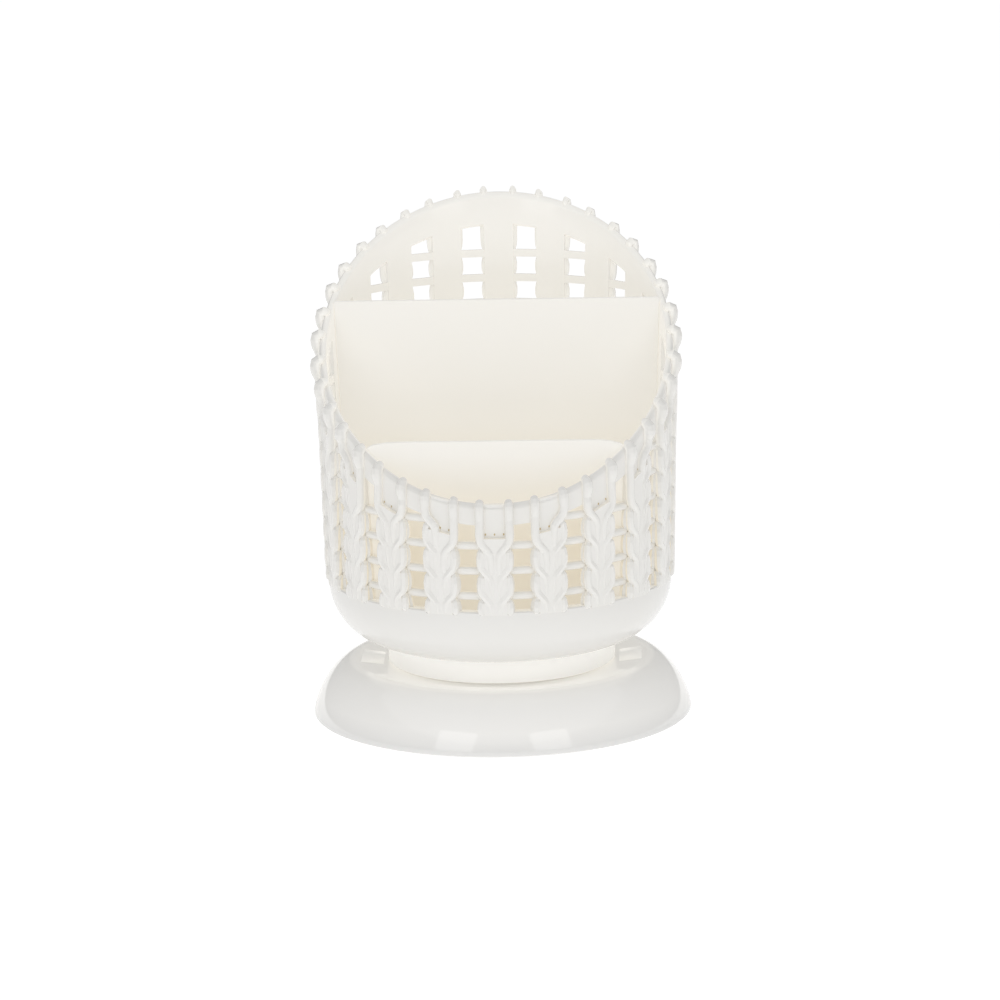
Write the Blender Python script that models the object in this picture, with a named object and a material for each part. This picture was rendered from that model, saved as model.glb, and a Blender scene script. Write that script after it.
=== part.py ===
"""Rotating pen cup: a woven-look basket with a slanted mouth on a ball-bearing base.

Metres, +Z up. The origin is on the table under the middle of the base, the cup
turns about Z, and the low side of its mouth faces -Y. Angles round the cup are
measured from -Y towards +X.
"""
import math

import bmesh
import bpy
from mathutils import Matrix

MM = 0.001

# Fits between neighbouring pieces
SEAT_GAP = 0.3 * MM              # between two pieces that rest on each other
PIVOT_CLEARANCE = 0.15 * MM      # radial play of the spindle in its hub
BALL_CLEARANCE = 0.15 * MM       # play of a ball in its grooves and its cage pocket
CUT_OVERRUN = 1.0 * MM           # how far a cutter runs past the face it opens
MERGE_DISTANCE = 0.0001 * MM     # points closer than this are one point

# Base
BASE_RADIUS = 57.8 * MM
BASE_LIFT = 0.6 * MM             # rim of the base above the table
BASE_LAND = 1.2 * MM             # upright edge under the dome
DECK_HEIGHT = 17.6 * MM          # flat top of the dome above the table
DECK_RADIUS = 44.0 * MM          # where the flat top turns into the dome
BASE_WALL = 2.2 * MM
DOME_ROUND_SHARE = 1.5           # 1 is an elliptical dome, more is a sharper rim
RECESS_DEPTH = 3.2 * MM          # well in the deck that holds the bearing
RECESS_CLEARANCE = 0.3 * MM
HUB_WALL = 3.0 * MM
HUB_DROP = 7.0 * MM              # hub below the floor of the well
HUB_RISE = 3.0 * MM              # hub above the floor of the well
RIB_COUNT = 8
RIB_THICKNESS = 1.6 * MM
RIB_HUB_HEIGHT = 3.4 * MM        # depth of a rib below the well, at the hub
RIB_RIM_LIFT = 3.6 * MM          # height of a rib's lower edge at the rim

# Feet
FOOT_COUNT = 4
FOOT_RADIUS = 5.0 * MM
FOOT_THICKNESS = 1.6 * MM
FOOT_CIRCLE = 46.0 * MM
FOOT_POCKET_DEPTH = 1.0 * MM
FOOT_BOSS_WALL = 1.2 * MM
FOOT_BOSS_HEIGHT = 5.0 * MM

# Ball bearing
BALL_COUNT = 12
BALL_RADIUS = 2.5 * MM
BALL_CIRCLE = 27.0 * MM
RACE_WIDTH = 9.4 * MM
RACE_THICKNESS = 1.5 * MM
RACE_WEB = 0.65 * MM             # race left under the groove
CAGE_WIDTH = 8.4 * MM
CAGE_THICKNESS = 1.2 * MM

# Neck collar, which turns with the cup
NECK_RADIUS = 34.7 * MM
NECK_WALL = 2.4 * MM
NECK_GAP = 0.5 * MM              # running gap over the deck
COLLAR_THICKNESS = 2.4 * MM
SPINDLE_RADIUS = 5.0 * MM
SPINDLE_END_PLAY = 0.2 * MM      # spindle end below the end of the hub

# Screws and washer
PIVOT_SCREW_RADIUS = 1.5 * MM
PIVOT_SCREW_LENGTH = 11.0 * MM
PIVOT_HEAD_RADIUS = 3.6 * MM
PIVOT_HEAD_HEIGHT = 2.2 * MM
WASHER_RADIUS = 9.0 * MM
WASHER_THICKNESS = 1.0 * MM
COLLAR_SCREW_COUNT = 3
COLLAR_SCREW_CIRCLE = 14.0 * MM
COLLAR_SCREW_RADIUS = 1.0 * MM
COLLAR_SCREW_LENGTH = 7.5 * MM
COLLAR_HEAD_RADIUS = 2.4 * MM
COLLAR_HEAD_HEIGHT = 1.6 * MM
SCREW_BOSS_WALL = 2.0 * MM
SCREW_BOSS_HEIGHT = 4.5 * MM     # above the floor of the cup
SCREW_TIP_SPACE = 0.8 * MM       # free depth past a screw's tip

# Bowl under the weave
BOWL_RADIUS = 52.4 * MM
BOWL_HEIGHT = 19.3 * MM
BOWL_EDGE = 0.8 * MM             # upright edge of the bowl under the weave
FLOOR_THICKNESS = 2.5 * MM
FLOOR_RADIUS = 33.0 * MM         # flat floor inside the cup

# Weave: upright plaits joined by level bars, with a window between each two
COLUMN_COUNT = 20
ROW_PITCH = 7.72 * MM
FIRST_BAR_RISE = 4.5 * MM        # middle of the lowest bar above the bowl
BAR_HEIGHT = 2.4 * MM
WINDOW_WIDTH = 5.7 * MM
WALL_THICKNESS = 1.7 * MM
WALL_RADIUS = 50.75 * MM         # outer face of the bars at the foot of the weave
WALL_TAPER_SHARE = 0.035         # growth of that radius for each unit of height
PLAIT_RADIUS = 53.2 * MM         # outer face of the plaits at the foot of the weave
PLAIT_TAPER_SHARE = 0.024
PLAIT_FOOT_DROP = 0.3 * MM       # plait ends below the edge of the bowl
PLAIT_SLANT = 5.2 * MM           # fall of a strand from the side of a plait to its middle
STRAND_RELIEF = 0.9 * MM         # depth of the valley between two strands
SPINE_RELIEF = 0.8 * MM          # depth of the line where the two halves of a plait meet
SPINE_FOOT_RELIEF = 0.3 * MM

# Rim band along the slanted mouth
MOUTH_RISE = 71.3 * MM           # mouth plane above the bowl, on the axis
MOUTH_SLOPE_SHARE = 0.686        # rise of the mouth plane towards +Y
BAND_HEIGHT = 8.6 * MM
BAND_RELIEF = 0.5 * MM           # band outside the plaits
BAND_INNER_RELIEF = 0.2 * MM     # band inside the wall
BAND_ROUNDING = 0.9 * MM
RIM_RIBS_PER_COLUMN = 2
RIM_RIB_WIDTH = 3.2 * MM
RIM_RIB_RELIEF = 1.3 * MM

# Dividers
DIVIDER_THICKNESS = 1.6 * MM
REAR_DIVIDER_PLACE = 15.3 * MM   # along +Y from the axis
FRONT_DIVIDER_PLACE = -32.5 * MM
DIVIDER_TOP_DROP = 0.8 * MM      # top edge below the mouth plane
REAR_DIVIDER_CORNER = 1.5 * MM
FRONT_DIVIDER_CORNER = 8.0 * MM
GUIDE_THICKNESS = 1.2 * MM
GUIDE_HEIGHT = 3.0 * MM
REAR_GUIDE_LENGTH = 48.0 * MM
FRONT_GUIDE_LENGTH = 26.0 * MM

# Facets
BASE_SEGMENTS = 36
RING_SEGMENTS = 36
FOOT_SEGMENTS = 12
SCREW_SEGMENTS = 10
DOME_STEPS = 5
BOWL_STEPS = 5
CORNER_STEPS = 4
GROOVE_STEPS = 3

# Heights that follow from the stack of pieces, from the table up
WELL_FLOOR = DECK_HEIGHT - RECESS_DEPTH
LOWER_RACE_BOTTOM = WELL_FLOOR + SEAT_GAP
GROOVE_RADIUS = BALL_RADIUS + BALL_CLEARANCE
BALL_HEIGHT = LOWER_RACE_BOTTOM + RACE_WEB + GROOVE_RADIUS
UPPER_RACE_TOP = BALL_HEIGHT + GROOVE_RADIUS + RACE_WEB
COLLAR_UNDERSIDE = UPPER_RACE_TOP + SEAT_GAP
COLLAR_TOP = COLLAR_UNDERSIDE + COLLAR_THICKNESS
CUP_BOTTOM = COLLAR_TOP + SEAT_GAP
FLOOR_HEIGHT = CUP_BOTTOM + FLOOR_THICKNESS
WEAVE_FOOT = CUP_BOTTOM + BOWL_HEIGHT
MOUTH_HEIGHT = WEAVE_FOOT + MOUTH_RISE
HUB_BOTTOM = WELL_FLOOR - HUB_DROP
SPINDLE_BOTTOM = HUB_BOTTOM - SPINDLE_END_PLAY
WASHER_TOP = SPINDLE_BOTTOM - SEAT_GAP
HUB_BORE = SPINDLE_RADIUS + PIVOT_CLEARANCE
WELL_RADIUS = BALL_CIRCLE + RACE_WIDTH / 2 + RECESS_CLEARANCE

# Angles round the cup
COLUMN_ANGLE = 2 * math.pi / COLUMN_COUNT
WINDOW_HALF_ANGLE = WINDOW_WIDTH / 2 / WALL_RADIUS
PLAIT_HALF_ANGLE = COLUMN_ANGLE / 2 - WINDOW_HALF_ANGLE


def clear_scene():
    for old in list(bpy.data.objects):
        bpy.data.objects.remove(old, do_unlink=True)


def plastic(name, colour, roughness, metallic=0.0):
    """One plain material of the Principled shader."""
    material = bpy.data.materials.new(name)
    material.use_nodes = True
    shader = material.node_tree.nodes["Principled BSDF"]
    shader.inputs["Base Color"].default_value = (*colour, 1.0)
    shader.inputs["Roughness"].default_value = roughness
    shader.inputs["Metallic"].default_value = metallic
    return material


def add_object(name, bm, material, parent=None):
    """Finish a mesh: faces out, smooth with sharp edges, linked and parented."""
    bmesh.ops.recalc_face_normals(bm, faces=bm.faces[:])
    mesh = bpy.data.meshes.new(name)
    bm.to_mesh(mesh)
    bm.free()
    mesh.shade_smooth()
    mesh.set_sharp_from_angle(angle=math.radians(35))
    made = bpy.data.objects.new(name, mesh)
    if material is not None:
        mesh.materials.append(material)
    bpy.context.collection.objects.link(made)
    made.parent = parent
    return made


def add_operand(name, bm):
    """An object that only cuts or joins, and isn't a piece itself."""
    operand = add_object(name, bm, None)
    operand.hide_render = True
    operand.display_type = "WIRE"
    return operand


def combine(target, operand, operation):
    modifier = target.modifiers.new(operand.name, "BOOLEAN")
    modifier.solver = "EXACT"
    modifier.operation = operation
    modifier.object = operand


def add_axis(name):
    """An empty on the turning axis, which carries the pieces that turn about it."""
    axis = bpy.data.objects.new(name, None)
    bpy.context.collection.objects.link(axis)
    return axis


def turned(bm, outline, segments):
    """Spin an outline of (radius, height) points about Z, closed unless it ends on the axis."""
    points = [bm.verts.new((radius, 0.0, height)) for radius, height in outline]
    pairs = list(zip(points, points[1:]))
    if outline[0][0] > 0 or outline[-1][0] > 0:
        pairs.append((points[-1], points[0]))
    edges = [bm.edges.new(pair) for pair in pairs]
    bmesh.ops.spin(
        bm, geom=points + edges, angle=2 * math.pi, steps=segments,
        axis=(0, 0, 1), cent=(0, 0, 0), use_merge=True,
    )
    bmesh.ops.remove_doubles(bm, verts=bm.verts[:], dist=MERGE_DISTANCE)
    on_axis = [edge for edge in bm.edges if not edge.link_faces]
    bmesh.ops.delete(bm, geom=on_axis, context="EDGES")


def turned_mesh(outline, segments):
    bm = bmesh.new()
    turned(bm, outline, segments)
    return bm


def cylinder(bm, radius, bottom, top, x, y, segments):
    place = Matrix.Translation((x, y, (bottom + top) / 2))
    bmesh.ops.create_cone(
        bm, cap_ends=True, segments=segments, radius1=radius, radius2=radius,
        depth=top - bottom, matrix=place,
    )


def block(bm, width, depth, bottom, top, x, y):
    place = Matrix.Translation((x, y, (bottom + top) / 2))
    size = Matrix.Diagonal((width, depth, top - bottom, 1.0))
    bmesh.ops.create_cube(bm, size=1.0, matrix=place @ size)


def on_circle(radius, index, count, start=0.0):
    """The x and y of one of a number of equal places round the axis, from -Y."""
    angle = start + 2 * math.pi * index / count
    return radius * math.sin(angle), -radius * math.cos(angle)


def quarter_curve(start, end, steps, share=1.0):
    """A quarter ellipse in (radius, height) that leaves start upright and ends level."""
    points = []
    for step in range(steps + 1):
        turn = math.pi / 2 * step / steps
        radius = end[0] + (start[0] - end[0]) * math.cos(turn)
        height = start[1] + (end[1] - start[1]) * math.sin(turn) ** share
        points.append((radius, height))
    return points


def dome_curve(inset):
    """The dome from rim to deck, moved inwards by a part of its wall."""
    start = (BASE_RADIUS - inset, BASE_LIFT + BASE_LAND)
    end = (DECK_RADIUS - inset / 2, DECK_HEIGHT - inset)
    return quarter_curve(start, end, DOME_STEPS, DOME_ROUND_SHARE)


def base_outline():
    """Half section of the base: dome, deck, bearing well, hub and hollow underside."""
    well_outside = WELL_RADIUS + BASE_WALL
    well_underside = WELL_FLOOR - BASE_WALL
    hub_outside = HUB_BORE + HUB_WALL
    outside = [(BASE_RADIUS, BASE_LIFT)] + dome_curve(0.0)
    well = [
        (WELL_RADIUS, DECK_HEIGHT), (WELL_RADIUS, WELL_FLOOR),
        (hub_outside, WELL_FLOOR), (hub_outside, WELL_FLOOR + HUB_RISE),
        (HUB_BORE, WELL_FLOOR + HUB_RISE), (HUB_BORE, HUB_BOTTOM),
        (hub_outside, HUB_BOTTOM), (hub_outside, well_underside),
        (well_outside, well_underside), (well_outside, DECK_HEIGHT - BASE_WALL),
    ]
    inside = dome_curve(BASE_WALL)[::-1] + [(BASE_RADIUS - BASE_WALL, BASE_LIFT)]
    return outside + well + inside


def rib_outline():
    """Radius and height of one stiffening rib, whose top is buried in the shell."""
    buried = BASE_WALL / 2
    hub = HUB_BORE + HUB_WALL / 2
    well = WELL_RADIUS + BASE_WALL / 2
    low_at_hub = WELL_FLOOR - BASE_WALL - RIB_HUB_HEIGHT
    dome = [point for point in dome_curve(buried) if point[1] > RIB_RIM_LIFT]
    return (
        [(hub, low_at_hub), (dome[0][0], RIB_RIM_LIFT)] + dome
        + [(well, DECK_HEIGHT - buried), (well, WELL_FLOOR - buried), (hub, WELL_FLOOR - buried)]
    )


def add_rib(bm, angle):
    """Extrude the rib outline to its thickness and turn it to its place."""
    start = len(bm.verts)
    half = RIB_THICKNESS / 2
    corners = [bm.verts.new((radius, -half, height)) for radius, height in rib_outline()]
    face = bm.faces.new(corners)
    bmesh.ops.extrude_face_region(bm, geom=[face])
    bm.verts.ensure_lookup_table()
    added = bm.verts[start:]
    bmesh.ops.translate(bm, verts=added[len(corners):], vec=(0, RIB_THICKNESS, 0))
    bmesh.ops.rotate(bm, verts=added, cent=(0, 0, 0), matrix=Matrix.Rotation(angle, 3, "Z"))


def make_base(material):
    base = add_object("base_dome", turned_mesh(base_outline(), BASE_SEGMENTS), material)
    ribs = bmesh.new()
    for index in range(RIB_COUNT):
        add_rib(ribs, 2 * math.pi * index / RIB_COUNT)
    combine(base, add_operand("base_ribs", ribs), "UNION")
    bosses = bmesh.new()
    pockets = bmesh.new()
    boss_radius = FOOT_RADIUS + SEAT_GAP + FOOT_BOSS_WALL
    pocket_bottom = FOOT_THICKNESS + SEAT_GAP - FOOT_POCKET_DEPTH
    pocket_top = FOOT_THICKNESS + SEAT_GAP
    for x, y in foot_places():
        boss_top = pocket_bottom + FOOT_BOSS_HEIGHT
        low = pocket_bottom - CUT_OVERRUN
        cylinder(bosses, boss_radius, pocket_bottom, boss_top, x, y, FOOT_SEGMENTS)
        cylinder(pockets, FOOT_RADIUS + SEAT_GAP, low, pocket_top, x, y, FOOT_SEGMENTS)
    combine(base, add_operand("foot_bosses", bosses), "UNION")
    combine(base, add_operand("foot_pockets", pockets), "DIFFERENCE")
    return base


def foot_places():
    start = math.pi / FOOT_COUNT
    return [on_circle(FOOT_CIRCLE, index, FOOT_COUNT, start) for index in range(FOOT_COUNT)]


def make_feet(material):
    for index, (x, y) in enumerate(foot_places()):
        bm = bmesh.new()
        cylinder(bm, FOOT_RADIUS, 0.0, FOOT_THICKNESS, 0.0, 0.0, FOOT_SEGMENTS)
        foot = add_object(f"foot_{index + 1}", bm, material)
        foot.location = (x, y, 0.0)


def race_outline(back, face):
    """Half section of a race: a flat ring with the balls' groove in its face."""
    inner = BALL_CIRCLE - RACE_WIDTH / 2
    outer = BALL_CIRCLE + RACE_WIDTH / 2
    depth = abs(face - BALL_HEIGHT)
    reach = math.acos(min(depth / GROOVE_RADIUS, 1.0))
    side = 1.0 if face > BALL_HEIGHT else -1.0
    groove = []
    for step in range(GROOVE_STEPS + 1):
        turn = reach * (1 - 2 * step / GROOVE_STEPS)
        radius = BALL_CIRCLE + GROOVE_RADIUS * math.sin(turn)
        groove.append((radius, BALL_HEIGHT + side * GROOVE_RADIUS * math.cos(turn)))
    return [(inner, back), (outer, back), (outer, face)] + groove + [(inner, face)]


def make_lower_race(material):
    outline = race_outline(LOWER_RACE_BOTTOM, LOWER_RACE_BOTTOM + RACE_THICKNESS)
    return add_object("lower_race", turned_mesh(outline, RING_SEGMENTS), material)


def make_upper_race(material, axis):
    outline = race_outline(UPPER_RACE_TOP, UPPER_RACE_TOP - RACE_THICKNESS)
    return add_object("upper_race", turned_mesh(outline, RING_SEGMENTS), material, axis)


def make_cage_and_balls(plastic_material, steel_material, axis):
    inner = BALL_CIRCLE - CAGE_WIDTH / 2
    outer = BALL_CIRCLE + CAGE_WIDTH / 2
    bottom = BALL_HEIGHT - CAGE_THICKNESS / 2
    top = BALL_HEIGHT + CAGE_THICKNESS / 2
    outline = [(inner, bottom), (outer, bottom), (outer, top), (inner, top)]
    cage = add_object("ball_cage", turned_mesh(outline, RING_SEGMENTS), plastic_material, axis)
    pockets = bmesh.new()
    for index in range(BALL_COUNT):
        x, y = on_circle(BALL_CIRCLE, index, BALL_COUNT)
        cylinder(pockets, GROOVE_RADIUS, bottom - CUT_OVERRUN, top + CUT_OVERRUN, x, y, SCREW_SEGMENTS)
        bm = bmesh.new()
        bmesh.ops.create_icosphere(bm, subdivisions=2, radius=BALL_RADIUS)
        ball = add_object(f"ball_{index + 1:02d}", bm, steel_material, axis)
        ball.location = (x, y, BALL_HEIGHT)
    combine(cage, add_operand("cage_pockets", pockets), "DIFFERENCE")
    return cage


def collar_screw_places():
    return [
        on_circle(COLLAR_SCREW_CIRCLE, index, COLLAR_SCREW_COUNT) for index in range(COLLAR_SCREW_COUNT)
    ]


def collar_outline():
    """Half section of the neck collar: plate, skirt and the spindle with its screw hole."""
    bore = PIVOT_SCREW_RADIUS + SEAT_GAP
    bore_top = WASHER_TOP - WASHER_THICKNESS + PIVOT_SCREW_LENGTH + SCREW_TIP_SPACE
    skirt = NECK_RADIUS - NECK_WALL
    skirt_bottom = DECK_HEIGHT + NECK_GAP
    return [
        (0.0, bore_top), (bore, bore_top), (bore, SPINDLE_BOTTOM), (SPINDLE_RADIUS, SPINDLE_BOTTOM),
        (SPINDLE_RADIUS, COLLAR_UNDERSIDE), (skirt, COLLAR_UNDERSIDE), (skirt, skirt_bottom),
        (NECK_RADIUS, skirt_bottom), (NECK_RADIUS, COLLAR_TOP), (0.0, COLLAR_TOP),
    ]


def make_collar(material, axis):
    collar = add_object("neck_collar", turned_mesh(collar_outline(), BASE_SEGMENTS), material, axis)
    holes = bmesh.new()
    for x, y in collar_screw_places():
        low = COLLAR_UNDERSIDE - CUT_OVERRUN
        high = COLLAR_TOP + CUT_OVERRUN
        cylinder(holes, COLLAR_SCREW_RADIUS + SEAT_GAP, low, high, x, y, SCREW_SEGMENTS)
    combine(collar, add_operand("collar_holes", holes), "DIFFERENCE")
    return collar


def screw_outline(seat, shank_radius, length, head_radius, head_height):
    """Half section of a pan-head screw that points up, with its head under the seat."""
    tip = seat + length
    edge = head_height / 3
    return [
        (0.0, seat - head_height), (head_radius - edge, seat - head_height),
        (head_radius, seat - head_height + edge), (head_radius, seat), (shank_radius, seat),
        (shank_radius, tip - shank_radius), (0.0, tip),
    ]


def make_pivot_screw(material, axis):
    seat = WASHER_TOP - WASHER_THICKNESS - SEAT_GAP
    outline = screw_outline(
        seat, PIVOT_SCREW_RADIUS, PIVOT_SCREW_LENGTH, PIVOT_HEAD_RADIUS, PIVOT_HEAD_HEIGHT
    )
    return add_object("pivot_screw", turned_mesh(outline, SCREW_SEGMENTS), material, axis)


def make_washer(material, axis):
    hole = PIVOT_SCREW_RADIUS + SEAT_GAP
    bottom = WASHER_TOP - WASHER_THICKNESS
    outline = [(hole, bottom), (WASHER_RADIUS, bottom), (WASHER_RADIUS, WASHER_TOP), (hole, WASHER_TOP)]
    return add_object("pivot_washer", turned_mesh(outline, FOOT_SEGMENTS), material, axis)


def make_collar_screws(material, axis):
    seat = COLLAR_UNDERSIDE - SEAT_GAP
    outline = screw_outline(
        seat, COLLAR_SCREW_RADIUS, COLLAR_SCREW_LENGTH, COLLAR_HEAD_RADIUS, COLLAR_HEAD_HEIGHT
    )
    for index, (x, y) in enumerate(collar_screw_places()):
        screw = add_object(f"collar_screw_{index + 1}", turned_mesh(outline, SCREW_SEGMENTS), material, axis)
        screw.location = (x, y, 0.0)


def wall_radius(height):
    """Outer face of the bars."""
    return WALL_RADIUS + WALL_TAPER_SHARE * (height - WEAVE_FOOT)


def plait_radius(height):
    """Outer face of the plaits."""
    return PLAIT_RADIUS + PLAIT_TAPER_SHARE * (height - WEAVE_FOOT)


def inner_radius(height):
    """Inner face of the cup, from the floor to the mouth."""
    if height >= WEAVE_FOOT:
        return wall_radius(height) - WALL_THICKNESS
    depth = min((WEAVE_FOOT - height) / (WEAVE_FOOT - FLOOR_HEIGHT), 1.0)
    span = WALL_RADIUS - WALL_THICKNESS - FLOOR_RADIUS
    return FLOOR_RADIUS + span * math.sqrt(1 - depth * depth)


def slanted_height(angle, radius_at, drop):
    """Height at which an upright line of the cup meets a plane under the mouth plane."""
    height = MOUTH_HEIGHT
    for _ in range(8):
        height = MOUTH_HEIGHT - drop - MOUTH_SLOPE_SHARE * radius_at(height) * math.cos(angle)
    return height


def on_cup(angle, radius, height):
    return (radius * math.sin(angle), -radius * math.cos(angle), height)


def strand_levels():
    """Heights of the lower and upper edge of each bar, as (row, side) with their height."""
    rows = int((MOUTH_HEIGHT + MOUTH_SLOPE_SHARE * BASE_RADIUS - WEAVE_FOOT) / ROW_PITCH)
    levels = []
    for row in range(rows):
        middle = WEAVE_FOOT + FIRST_BAR_RISE + row * ROW_PITCH
        levels.append(((row, "low"), middle - BAR_HEIGHT / 2))
        levels.append(((row, "high"), middle + BAR_HEIGHT / 2))
    return levels


class Line:
    """One upright line of the weave: its vertices by label, from the foot to the rim band."""

    def __init__(self, bm, angle, radius_of, fall=0.0, foot=None):
        self.labels = ["foot"]
        foot_radius, foot_height = foot
        self.verts = {"foot": bm.verts.new(on_cup(angle, foot_radius, foot_height))}
        top = slanted_height(angle, lambda height: radius_of("high", height), BAND_HEIGHT / 2)
        for label, level in strand_levels():
            height = level - fall
            if foot_height + BAR_HEIGHT / 4 < height < top - BAR_HEIGHT / 4:
                radius = radius_of(label[1], height)
                self.labels.append(label)
                self.verts[label] = bm.verts.new(on_cup(angle, radius, height))
        self.labels.append("top")
        self.verts["top"] = bm.verts.new(on_cup(angle, radius_of("high", top), top))


def shared_labels(left, right):
    return [label for label in left.labels if label in right.verts]


def between(line, low, high):
    """The vertices of a line from one of its labels up to another."""
    start = line.labels.index(low)
    end = line.labels.index(high)
    return [line.verts[label] for label in line.labels[start:end + 1]]


def skin(bm, left, right, bars=0):
    """Faces between two lines, joined level by level, apart from the ends of a number of bars."""
    labels = shared_labels(left, right)
    for low, high in zip(labels, labels[1:]):
        is_bar = low != "foot" and low[1] == "low" and low[0] < bars
        if is_bar:
            continue
        left_run = between(left, low, high)
        right_run = between(right, low, high)
        while len(left_run) > 2:
            bm.faces.new((left_run[1], left_run.pop(0), right_run[0]))
        while len(right_run) > 2:
            bm.faces.new((left_run[0], right_run.pop(0), right_run[0]))
        bm.faces.new(left_run[::-1] + right_run)


def wall_line(bm, angle, thickness, foot_radius):
    def radius_of(side, height):
        return wall_radius(height) - thickness
    return Line(bm, angle, radius_of, foot=(foot_radius, WEAVE_FOOT))


def strand_line(bm, angle, relief, fall, foot_relief):
    def radius_of(side, height):
        valley = STRAND_RELIEF if side == "low" else 0.0
        return plait_radius(height) - relief - valley
    foot = (PLAIT_RADIUS - foot_relief, WEAVE_FOOT - PLAIT_FOOT_DROP)
    return Line(bm, angle, radius_of, fall, foot)


class Plait:
    """The lines of one plait: five on the outside and two on the smooth inside."""

    def __init__(self, bm, index):
        middle = index * COLUMN_ANGLE
        edge = PLAIT_HALF_ANGLE
        inner = WALL_RADIUS - WALL_THICKNESS
        self.outer = [
            wall_line(bm, middle - edge, 0.0, BOWL_RADIUS),
            strand_line(bm, middle - edge / 2, 0.0, PLAIT_SLANT / 2, 0.0),
            strand_line(bm, middle, SPINE_RELIEF, PLAIT_SLANT, SPINE_FOOT_RELIEF),
            strand_line(bm, middle + edge / 2, 0.0, PLAIT_SLANT / 2, 0.0),
            wall_line(bm, middle + edge, 0.0, BOWL_RADIUS),
        ]
        self.inner = [
            wall_line(bm, middle - edge, WALL_THICKNESS, inner),
            wall_line(bm, middle + edge, WALL_THICKNESS, inner),
        ]
        self.bowl_angles = [middle - edge, middle, middle + edge]
        for left, right in zip(self.outer, self.outer[1:]):
            skin(bm, left, right)
        skin(bm, self.inner[1], self.inner[0])
        rim = [line.verts["top"] for line in self.outer]
        bm.faces.new(rim + [self.inner[1].verts["top"], self.inner[0].verts["top"]])


def bar_count(angle):
    """Bars in a window column that stay clear of the rim band."""
    limit = slanted_height(angle, wall_radius, BAND_HEIGHT) - BAR_HEIGHT
    lowest_top = WEAVE_FOOT + FIRST_BAR_RISE + BAR_HEIGHT / 2
    return 1 + int((limit - lowest_top) / ROW_PITCH)


def add_window_column(bm, left, right, bars):
    """Bars and window sides between the right edge of one plait and the left of the next."""
    outer_left, inner_left = left.outer[-1], left.inner[-1]
    outer_right, inner_right = right.outer[0], right.inner[0]
    rings = [outer_left, outer_right, inner_right, inner_left]
    bm.faces.new([line.verts["foot"] for line in rings])
    for row in range(bars):
        low = [line.verts[(row, "low")] for line in rings]
        high = [line.verts[(row, "high")] for line in rings]
        bm.faces.new(low)
        bm.faces.new(high)
        bm.faces.new((low[0], low[1], high[1], high[0]))
        bm.faces.new((low[2], low[3], high[3], high[2]))
    skin(bm, outer_left, inner_left, bars)
    skin(bm, outer_right, inner_right, bars)


def ring_faces(bm, upper, lower):
    """Faces between two rings of as many vertices."""
    count = len(upper)
    for index in range(count):
        after = (index + 1) % count
        bm.faces.new((upper[index], lower[index], lower[after], upper[after]))


def add_bowl(bm, plaits):
    """The smooth bowl under the weave, outside and inside, and the cup's floor."""
    angles = [angle for plait in plaits for angle in plait.bowl_angles]
    start = (BOWL_RADIUS, WEAVE_FOOT - BOWL_EDGE)
    curve = quarter_curve(start, (NECK_RADIUS, CUP_BOTTOM), BOWL_STEPS)
    rings = [[bm.verts.new(on_cup(a, radius, height)) for a in angles] for radius, height in curve]
    for upper, lower in zip(rings, rings[1:]):
        ring_faces(bm, upper, lower)
    bm.faces.new(rings[-1])
    edge = rings[0]
    for index, plait in enumerate(plaits):
        feet = [line.verts["foot"] for line in plait.outer]
        left, middle, right = edge[3 * index:3 * index + 3]
        following = edge[(3 * index + 3) % len(edge)]
        next_foot = plaits[(index + 1) % len(plaits)].outer[0].verts["foot"]
        bm.faces.new((feet[0], left, middle, feet[2], feet[1]))
        bm.faces.new((feet[2], middle, right, feet[4], feet[3]))
        bm.faces.new((feet[4], right, following, next_foot))
    inner_start = (WALL_RADIUS - WALL_THICKNESS, WEAVE_FOOT)
    inner_curve = quarter_curve(inner_start, (FLOOR_RADIUS, FLOOR_HEIGHT), BOWL_STEPS)
    previous = [line.verts["foot"] for plait in plaits for line in plait.inner]
    edge_angles = [plait.bowl_angles[side] for plait in plaits for side in (0, 2)]
    for radius, height in inner_curve[1:]:
        ring = [bm.verts.new(on_cup(angle, radius, height)) for angle in edge_angles]
        ring_faces(bm, previous, ring)
        previous = ring
    bm.faces.new(previous)


def weave_mesh():
    """Plaits, bars and bowl as one closed wall whose top edge is buried in the rim band."""
    bm = bmesh.new()
    plaits = [Plait(bm, index) for index in range(COLUMN_COUNT)]
    for index, plait in enumerate(plaits):
        after = plaits[(index + 1) % COLUMN_COUNT]
        bars = bar_count((index + 0.5) * COLUMN_ANGLE)
        add_window_column(bm, plait, after, bars)
    add_bowl(bm, plaits)
    bmesh.ops.triangulate(bm, faces=bm.faces[:])
    return bm


def band_section(relief):
    """Section of the rim band as (inwards from its outer face, down from the mouth) pairs."""
    thickness = band_thickness()
    return [
        (-relief, BAND_HEIGHT), (-relief, BAND_ROUNDING), (BAND_ROUNDING, -relief),
        (thickness, BAND_ROUNDING - relief), (thickness, BAND_HEIGHT),
    ]


def band_thickness():
    """From the band's outer face to its inner face, on the axis height of the mouth."""
    outside = plait_radius(MOUTH_HEIGHT) + BAND_RELIEF
    inside = wall_radius(MOUTH_HEIGHT) - WALL_THICKNESS - BAND_INNER_RELIEF
    return outside - inside


def band_point(angle, inwards, down):
    """A point of the band, whose inner side keeps to the wall and outer side to the plaits."""
    share = inwards / band_thickness()

    def radius_at(height):
        outside = plait_radius(height) + BAND_RELIEF
        inside = wall_radius(height) - WALL_THICKNESS - BAND_INNER_RELIEF
        return outside + (inside - outside) * share

    height = slanted_height(angle, radius_at, down)
    return on_cup(angle, radius_at(height), height)


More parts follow.
